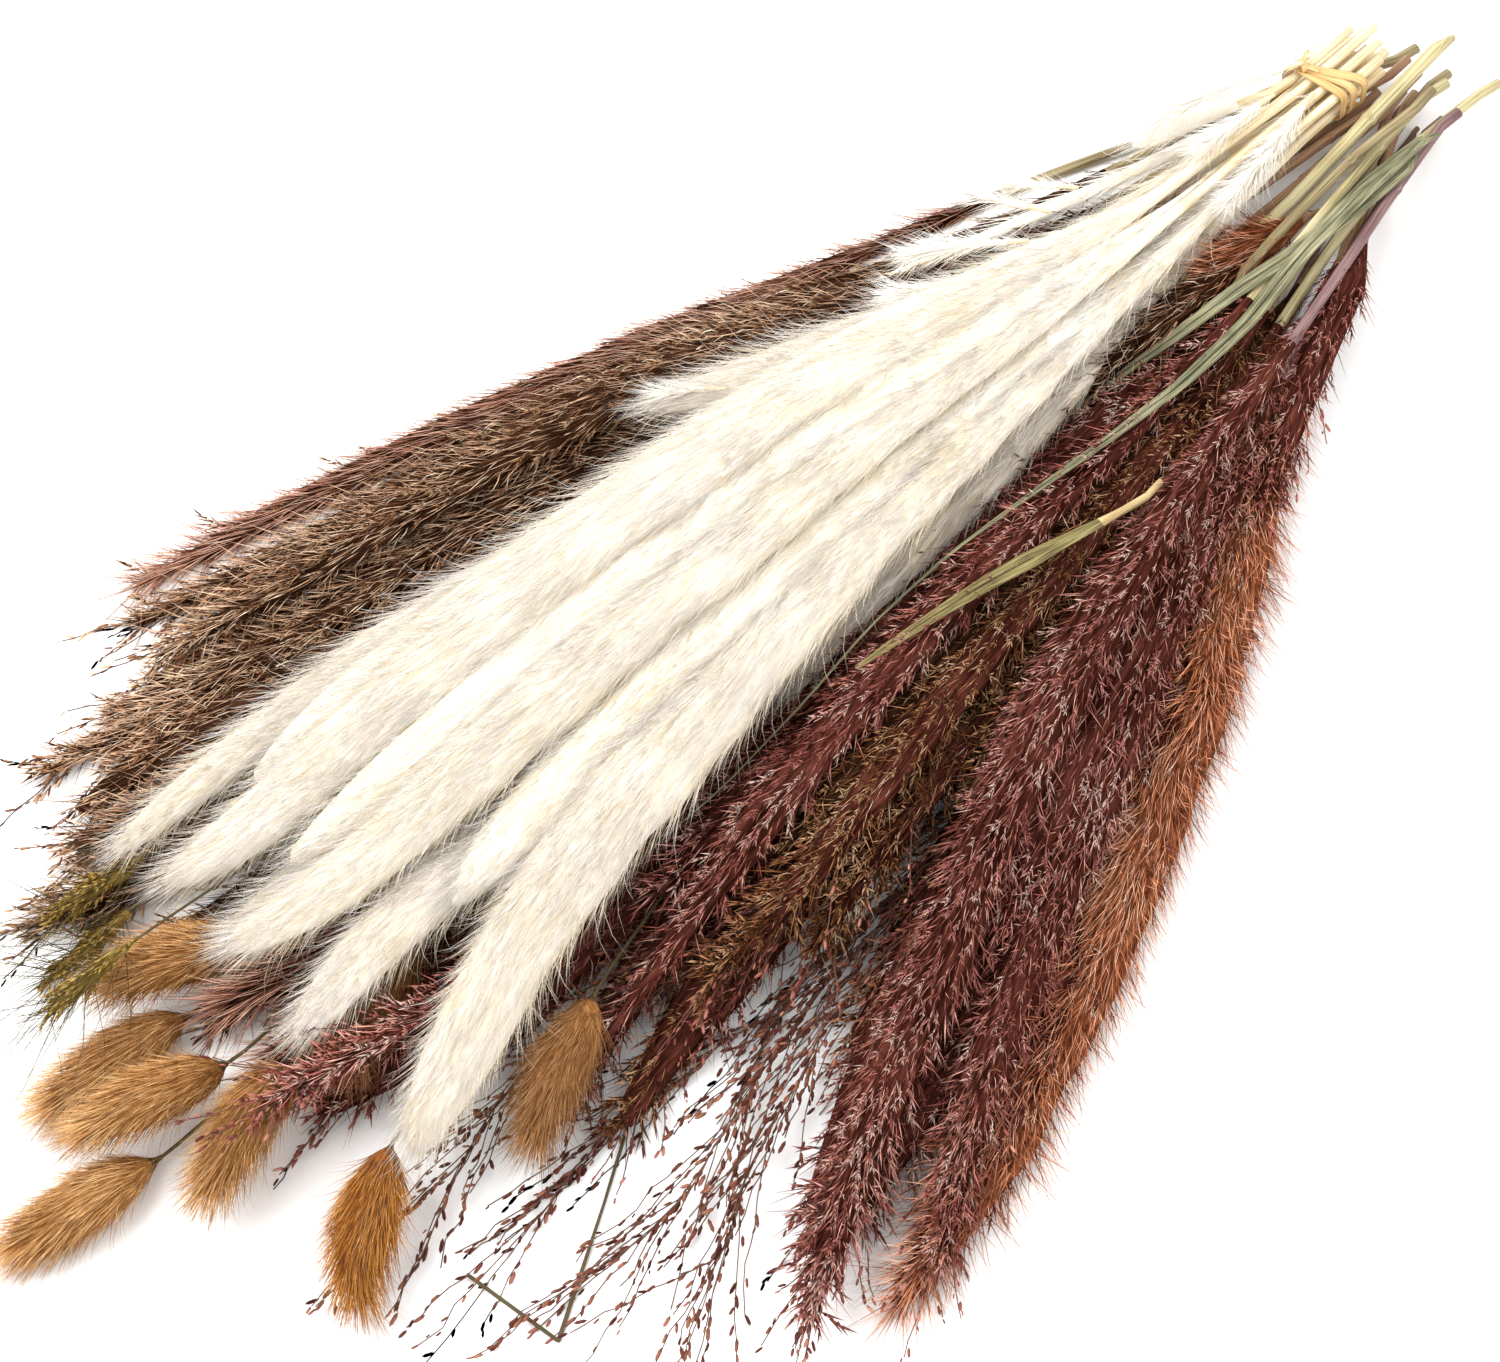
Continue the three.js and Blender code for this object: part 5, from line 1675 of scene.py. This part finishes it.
@dataclass
class RaffiaTie:
    """The flat raffia strands wound round the cream stems, with their knot and loose ends."""

    middle: Point = (246.0, 27.0, 22.35)
    half_across: float = 7.2
    half_over: float = 3.95
    corner: float = 2.6
    width: float = 3.4
    thickness: float = 0.5

    TURNS = (  # how far each leans for a millimetre across the stems, lies over them, and is moved along
        (0.16, 0.0, -0.4),
        (0.3, 0.5, 1.1),
        (0.62, 1.0, 0.0),
    )
    ENDS = (  # each end's direction seen from above, its length, and how far it bends down
        ((-0.84, 0.5), 12.0, 3.0),
        ((0.75, 0.35), 8.0, 1.0),
        ((0.3, -0.9), 6.0, 0.4),
    )
    SECTION = ((-1.0, 0.3), (-0.55, 0.9), (0.0, 0.55), (0.55, 1.0), (1.0, 0.3), (0.5, -0.2), (-0.5, -0.2))
    KNOT = (0.4, -0.6, 1.4)  # the knot's place, from the upper corner of the turns
    LIFTED = 0.7  # share of a turn's lift that widens its corners
    UNEVEN = (0.75, 1.05)  # least and greatest width, as shares of the usual
    NARROWED = 0.55  # the same at a loose end's tip
    LOOP_SIZE = (1.0, 2.2, 1.3)
    LOOP_WIDTH = 2.6
    END_WIDTH = 2.4
    END_POINTS = 8
    LOOP_SEED = 7
    FIRST_SEED = 40  # what the strands' seeds are counted from

    def build(self) -> int:
        """Makes the tie in the place of its solid and returns how many triangles it has."""
        strands = [self._turn(*turn, seed) for seed, turn in enumerate(self.TURNS)]
        x, y, z = self.middle
        knot = np.array([x, y + self.half_across, z + self.half_over + self.corner]) + np.array(self.KNOT)
        strands.append(self._loop(knot))
        strands += [self._end(knot, *end) for end in self.ENDS]
        piece = joined(strands)
        piece.name = "tie_band_wound"
        return hand_over(piece, "tie", "tie_band")

    def _turn(self, lean: float, lift: float, shift: float, seed: int) -> Thing:
        """Makes one turn round the stems.

        Args:
            lean: How far it runs along the stems for each millimetre across them.
            lift: How far it lies over the stems.
            shift: How far it is moved along the stems.
            seed: The number of its unevenness.

        Returns:
            The strand.
        """
        radius = self.corner + lift * self.LIFTED
        points = []
        outward = []
        for start, across, over in ((0, 1, 1), (90, -1, 1), (180, -1, -1), (270, 1, -1)):
            for angle in np.radians(start + np.array([0.0, 22.5, 45.0, 67.5, 90.0])):
                y = across * self.half_across + radius * math.cos(angle)
                z = over * self.half_over + radius * math.sin(angle)
                points.append((shift + lean * (self.half_across - y), y, z))
                outward.append((0.0, math.cos(angle), math.sin(angle)))
        points = np.array(points) + np.array(self.middle)
        return self._ribbon(points, np.array(outward), self.width, seed, True)

    def _loop(self, knot: np.ndarray) -> Thing:
        """Makes the small loop that the knot is drawn tight with."""
        angles = np.linspace(0, 2 * np.pi, 15)[:-1]
        outward = np.stack([np.cos(angles) * 0.4, np.cos(angles) * 0.9, np.sin(angles)], 1)
        points = knot + outward * np.array(self.LOOP_SIZE)
        return self._ribbon(points, outward, self.LOOP_WIDTH, self.LOOP_SEED, True)

    def _end(self, knot: np.ndarray, ahead: tuple[float, float], length: float, drop: float) -> Thing:
        """Makes a loose end that leaves the knot.

        Args:
            knot: Where the knot is.
            ahead: The end's direction seen from above.
            length: Its length.
            drop: How far it bends down.

        Returns:
            The strand.
        """
        share = np.linspace(0, 1, self.END_POINTS)
        off = np.stack([ahead[0] * length * share, ahead[1] * length * share, 0.7 - drop * share ** 2], 1)
        outward = np.tile([[0.0, 0.0, 1.0]], (self.END_POINTS, 1))
        return self._ribbon(knot + off, outward, self.END_WIDTH, int(length), False)

    def _ribbon(self, points: np.ndarray, outward: np.ndarray, width: float, seed: int,
                endless: bool) -> Thing:
        """Makes a creased flat strand.

        Args:
            points: Its middle line.
            outward: The direction of its upper side at each point.
            width: Its width.
            seed: The number of its unevenness.
            endless: Whether its two ends meet.

        Returns:
            The strand.
        """
        count, sides = len(points), len(self.SECTION)
        ahead = np.roll(points, -1, 0) - np.roll(points, 1, 0) if endless else np.gradient(points, axis=0)
        ahead = unit(ahead)
        outward = unit(outward - ahead * (outward * ahead).sum(1)[:, None])
        across = np.cross(ahead, outward)
        uneven = soft(np.random.default_rng(seed + self.FIRST_SEED).uniform(*self.UNEVEN, count), 1)
        if endless:
            uneven[-1] = uneven[0]
        else:
            uneven = uneven * np.linspace(1.0, self.NARROWED, count)
        rings = np.stack([
            points + across * (side * width / 2 * uneven)[:, None] + outward * height * self.thickness
            for side, height in self.SECTION], 1)
        faces = walls(count, sides, endless)
        if not endless:
            faces.append(tuple(range(sides))[::-1])
            faces.append(tuple((count - 1) * sides + side for side in range(sides)))
        made = skin("strand", rings.reshape(-1, 3), faces, [RAFFIA.material()])
        marks = [(run + 50 * seed, side * width / 2, height)
                 for run in travelled(points) for side, height in self.SECTION]
        mark(made, "run", np.array(marks) * MM)
        outwards(made)
        return made


def outwards(piece: Thing) -> None:
    """Turns a closed mesh's faces outwards."""
    whole = bmesh.new()
    whole.from_mesh(piece.data)
    bmesh.ops.recalc_face_normals(whole, faces=whole.faces)
    whole.to_mesh(piece.data)
    whole.free()


def thin_straw(frame: dict, drawn_in: float = 0.65) -> int:
    """Makes the folded straw, as its solid with the skin drawn in.

    Args:
        frame: What the frame's load gave.
        drawn_in: How far the skin is drawn in, in millimetres.

    Returns:
        How many triangles it has.
    """
    mesh = frame["nodes"]["folded_straw"].data.copy()
    mesh.materials.clear()
    mesh.materials.append(DRY_STRAW.material())
    whole = bmesh.new()
    whole.from_mesh(mesh)
    bmesh.ops.remove_doubles(whole, verts=whole.verts, dist=1e-6)
    whole.normal_update()
    inwards = [vertex.normal * drawn_in * MM for vertex in whole.verts]
    for vertex, step in zip(whole.verts, inwards):
        vertex.co -= step
    whole.to_mesh(mesh)
    whole.free()
    piece = shown(bpy.data.objects.new("folded_straw_grown", mesh))
    return hand_over(piece, "straw", "folded_straw")


# The bunch


BLADES = (
    Blade("leaf_blade_01", GREEN_BLADE, slim=0.8),
    Blade("leaf_blade_02", GREEN_BLADE, slim=0.8, ends=0.25),
    Blade("leaf_blade_03", OLIVE_BLADE, bare=24.0),
    Blade("long_straw", GREEN, flat=False, strips=1, knots=110.0),
)
# Their hairs add fluff, and the cores of those with few hairs fill the gaps between the stalks with painted
# shade.
SHOOTS = (  # each one's kind, half-width, density of hairs, and the corners of its way
    ("mauve", 7.0, 0.7, ((229, -14, 14), (203, -25, 16), (182, -33, 17), (161, -43, 17), (138, -55, 17),
        (113, -67, 16))),
    ("olive", 9.0, 0.7, ((174, -13, 10), (142, -28, 10), (106, -42, 10), (60, -60, 10))),
    ("mauve", 8.0, 0.4, ((190, -1, 5), (90, -9, 5), (0, -21, 5), (-90, -35, 5), (-150, -46, 5))),
    ("brown", 10.0, 0.36, ((150, 52, 5), (84, 64, 6), (8, 84, 6), (-45, 99, 7), (-101, 108, 7),
        (-158, 120, 5))),
    ("brown", 10.0, 0.36, ((120, 79, 5), (60, 97, 6), (-2, 109, 7), (-53, 125, 7), (-90, 138, 6),
        (-126, 149, 5))),
    ("brown", 10.0, 0.36, ((20, 66, 5), (-33, 76, 6), (-82, 85, 6), (-140, 91, 6), (-195, 105, 5))),
    ("brown", 10.0, 0.36, ((0, 56, 5), (-65, 69, 6), (-124, 75, 6), (-173, 82, 6), (-215, 101, 5))),
    ("brown", 9.0, 0.4, ((-20, 48, 5), (-92, 58, 5), (-142, 60, 5), (-184, 61, 5), (-213, 72, 5))),
    ("pink", 11.0, 0.6, ((-90, 22, 10), (-137, 27, 11), (-166, 29, 12), (-193, 33, 12), (-212, 40, 10))),
    ("mauve", 11.0, 0.36, ((100, -24, 8), (48, -32, 9), (-9, -42, 9), (-64, -52, 8), (-118, -65, 5))),
    ("olive", 11.0, 0.4, ((90, -14, 8), (48, -18, 8), (-21, -26, 8), (-78, -33, 7), (-131, -43, 5))),
    ("russet", 11.0, 0.4, ((90, -50, 8), (43, -61, 9), (-9, -74, 8), (-54, -88, 7), (-94, -101, 5))),
    ("mauve", 10.0, 0.36, ((85, -74, 8), (36, -88, 9), (-11, -105, 8), (-57, -122, 7), (-102, -136, 5))),
    ("brown", 10.0, 0.36, ((60, 82, 8), (14, 90, 9), (-71, 106, 9), (-119, 119, 8), (-169, 136, 5))),
    ("brown", 10.0, 0.36, ((30, 80, 8), (-22, 88, 8), (-75, 94, 8), (-121, 103, 7), (-178, 120, 5))),
    ("brown", 10.0, 0.36, ((0, 70, 7), (-59, 77, 8), (-116, 84, 8), (-164, 95, 7), (-206, 112, 5))),
    ("brown", 10.0, 0.36, ((-50, 62, 7), (-99, 67, 8), (-148, 74, 8), (-190, 84, 7), (-223, 96, 5))),
    ("rosy", 11.0, 0.45, ((-5, -75, 9), (-39, -87, 9), (-77, -104, 9), (-107, -117, 8), (-139, -130, 5))),
    ("rosy", 11.0, 0.45, ((-4, -94, 8), (-43, -109, 8), (-77, -120, 8), (-105, -128, 8), (-134, -136, 5))),
    ("rosy", 10.0, 0.45, ((4, -102, 8), (-37, -125, 8), (-70, -141, 8), (-100, -150, 7), (-127, -159, 5))),
    ("mauve", 10.0, 0.45, ((-20, -24, 8), (-54, -29, 8), (-83, -33, 8), (-110, -37, 7), (-138, -45, 6),
        (-160, -52, 4))),
    ("russet", 10.0, 0.4, ((-20, -38, 8), (-51, -42, 8), (-80, -49, 8), (-108, -57, 7), (-133, -63, 6),
        (-155, -70, 4))),
    ("mauve", 9.0, 0.45, ((-40, -14, 8), (-67, -17, 8), (-93, -19, 8), (-118, -20, 7), (-141, -23, 6),
        (-160, -30, 4))),
    ("mauve", 10.0, 0.45, ((-60, -2, 8), (-88, -5, 8), (-122, -8, 8), (-149, -7, 7), (-174, -4, 6),
        (-198, -1, 5))),
    ("russet", 10.0, 0.4, ((-75, 5, 6), (-101, 5, 6), (-138, 5, 6), (-165, 9, 6), (-192, 14, 6),
        (-219, 14, 5))),
    ("rosy", 10.0, 0.45, ((-91, -17, 10), (-132, -18, 10), (-163, -13, 9), (-189, -8, 8), (-215, -3, 6))),
    ("brown", 10.0, 0.36, ((-20, 112, 8), (-52, 117, 8), (-85, 121, 8), (-116, 127, 8), (-141, 130, 7),
        (-164, 130, 5))),
    ("brown", 10.0, 0.36, ((-60, 93, 8), (-93, 99, 8), (-123, 106, 8), (-149, 113, 7), (-174, 115, 6),
        (-197, 116, 5))),
    ("brown", 7.0, 1.0, ((195, -1, 16), (173, 3, 18), (148, 5, 18), (122, 6, 18), (99, 5, 16))),
    ("rust", 6.0, 1.0, ((223, -1, 14), (208, 2, 15), (190, 7, 15), (169, 8, 15))),
    ("olive", 9.0, 0.5, ((200, -5, 12), (166, -8, 12), (125, -13, 12), (77, -20, 12), (30, -25, 10))),
    ("olive", 9.0, 0.5, ((156, -21, 12), (103, -29, 13), (54, -39, 12), (6, -48, 9), (-37, -53, 5))),
)
FILLINGS = (  # each one's kind, half-width, density of hairs, two stalks, start, cover and depth under them
    ("cream", 11.0, 0.42, "cream_plume_07", "cream_plume_10", 70.0, 0.93, 1.0),
    ("cream", 10.0, 0.42, "cream_plume_10", "cream_plume_09", 70.0, 0.95, 3.0),
    ("cream", 12.0, 0.45, "cream_plume_09", "cream_plume_08", 70.0, 0.9, 4.0),
    ("cream", 9.0, 0.42, "cream_plume_05", "cream_plume_08", 120.0, 0.86, 1.0),
    ("cream", 9.0, 0.42, "cream_plume_06", "cream_plume_05", 150.0, 0.93, 1.0),
    ("mauve", 11.0, 0.6, "mauve_plume_06", "mauve_plume_01", 100.0, 0.78, 4.0),
    ("russet", 12.0, 0.6, "mauve_plume_06", "mauve_plume_02", 100.0, 0.8, 5.0),
    ("olive", 10.0, 0.6, "mauve_plume_02", "mauve_plume_03", 90.0, 0.86, 4.0),
    ("olive", 11.0, 0.6, "mauve_plume_03", "mauve_plume_04", 90.0, 0.88, 6.0),
    ("mauve", 11.0, 0.5, "mauve_plume_04", "mauve_plume_05", 110.0, 0.84, 5.0),
)
WISPS = (  # the corners of each one's way
    ((151, 46, 34), (142, 59, 37), (133, 72, 37)),
    ((140, 44, 34), (120, 59, 37), (99, 72, 35)),
    ((124, 42, 34), (106, 54, 35), (86, 65, 33)),
    ((164, 46, 34), (154, 58, 37), (142, 66, 37)),
    ((37, 70, 34), (28, 82, 35), (13, 89, 33)),
    ((242, 31, 36), (252, 32, 38), (262, 34, 41)),
    ((250, 32, 32), (229, 40, 34), (209, 47, 35), (187, 51, 33)),
    ((246, 26, 28), (228, 21, 31), (205, 16, 33), (181, 12, 34)),
    ((236, 32, 30), (215, 33, 33), (190, 32, 36)),
)
WISP_CROWD = 7.0
WISP_HALF = 2.6
SHOOT_SEEDS, FILLING_SEEDS, WISP_SEEDS = 60, 80, 100  # what their seeds are counted from


def stalks(frame: dict) -> list[Plume | Panicle | Blade]:
    """Lists the stalks and blades with solids, and the shoots, fillings and wisps between them.

    Args:
        frame: What the frame's load gave.

    Returns:
        The pieces to be built, in order.
    """
    grown = []
    for seed, node in enumerate(sorted(frame["nodes"]), start=3):
        kind = node.split("_")[0]
        if kind in LOOKS:
            grown.append(Plume(node, seed))
        elif kind == "seed":
            grown.append(Panicle(node, seed))
    grown += BLADES
    for number, (kind, half, crowd, route) in enumerate(SHOOTS, start=1):
        name = f"side_shoot_{number:02d}"
        grown.append(SideShoot(name, SHOOT_SEEDS + number, crowd, True, kind, half, route))
    for number, (kind, half, crowd, one, two, *rest) in enumerate(FILLINGS, start=1):
        name = f"filling_{number:02d}"
        grown.append(Filling(name, FILLING_SEEDS + number, crowd, False, kind, half, (), (one, two), *rest))
    for number, route in enumerate(WISPS, start=1):
        name = f"wisp_{number:02d}"
        grown.append(SideShoot(name, WISP_SEEDS + number, WISP_CROWD, False, "wisp", WISP_HALF, route))
    return grown


def main() -> None:
    """Builds the bunch piece by piece and reports each one."""
    logging.basicConfig(level=logging.INFO, format="%(name)s: %(message)s")
    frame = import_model()
    Studio().build()
    meadow = Meadow()
    triangles = sum(stalk.build(frame, meadow) for stalk in stalks(frame))
    triangles += RaffiaTie().build() + thin_straw(frame)
    log.info("all pieces: %d triangles", triangles)


if __name__ == "__main__":
    main()
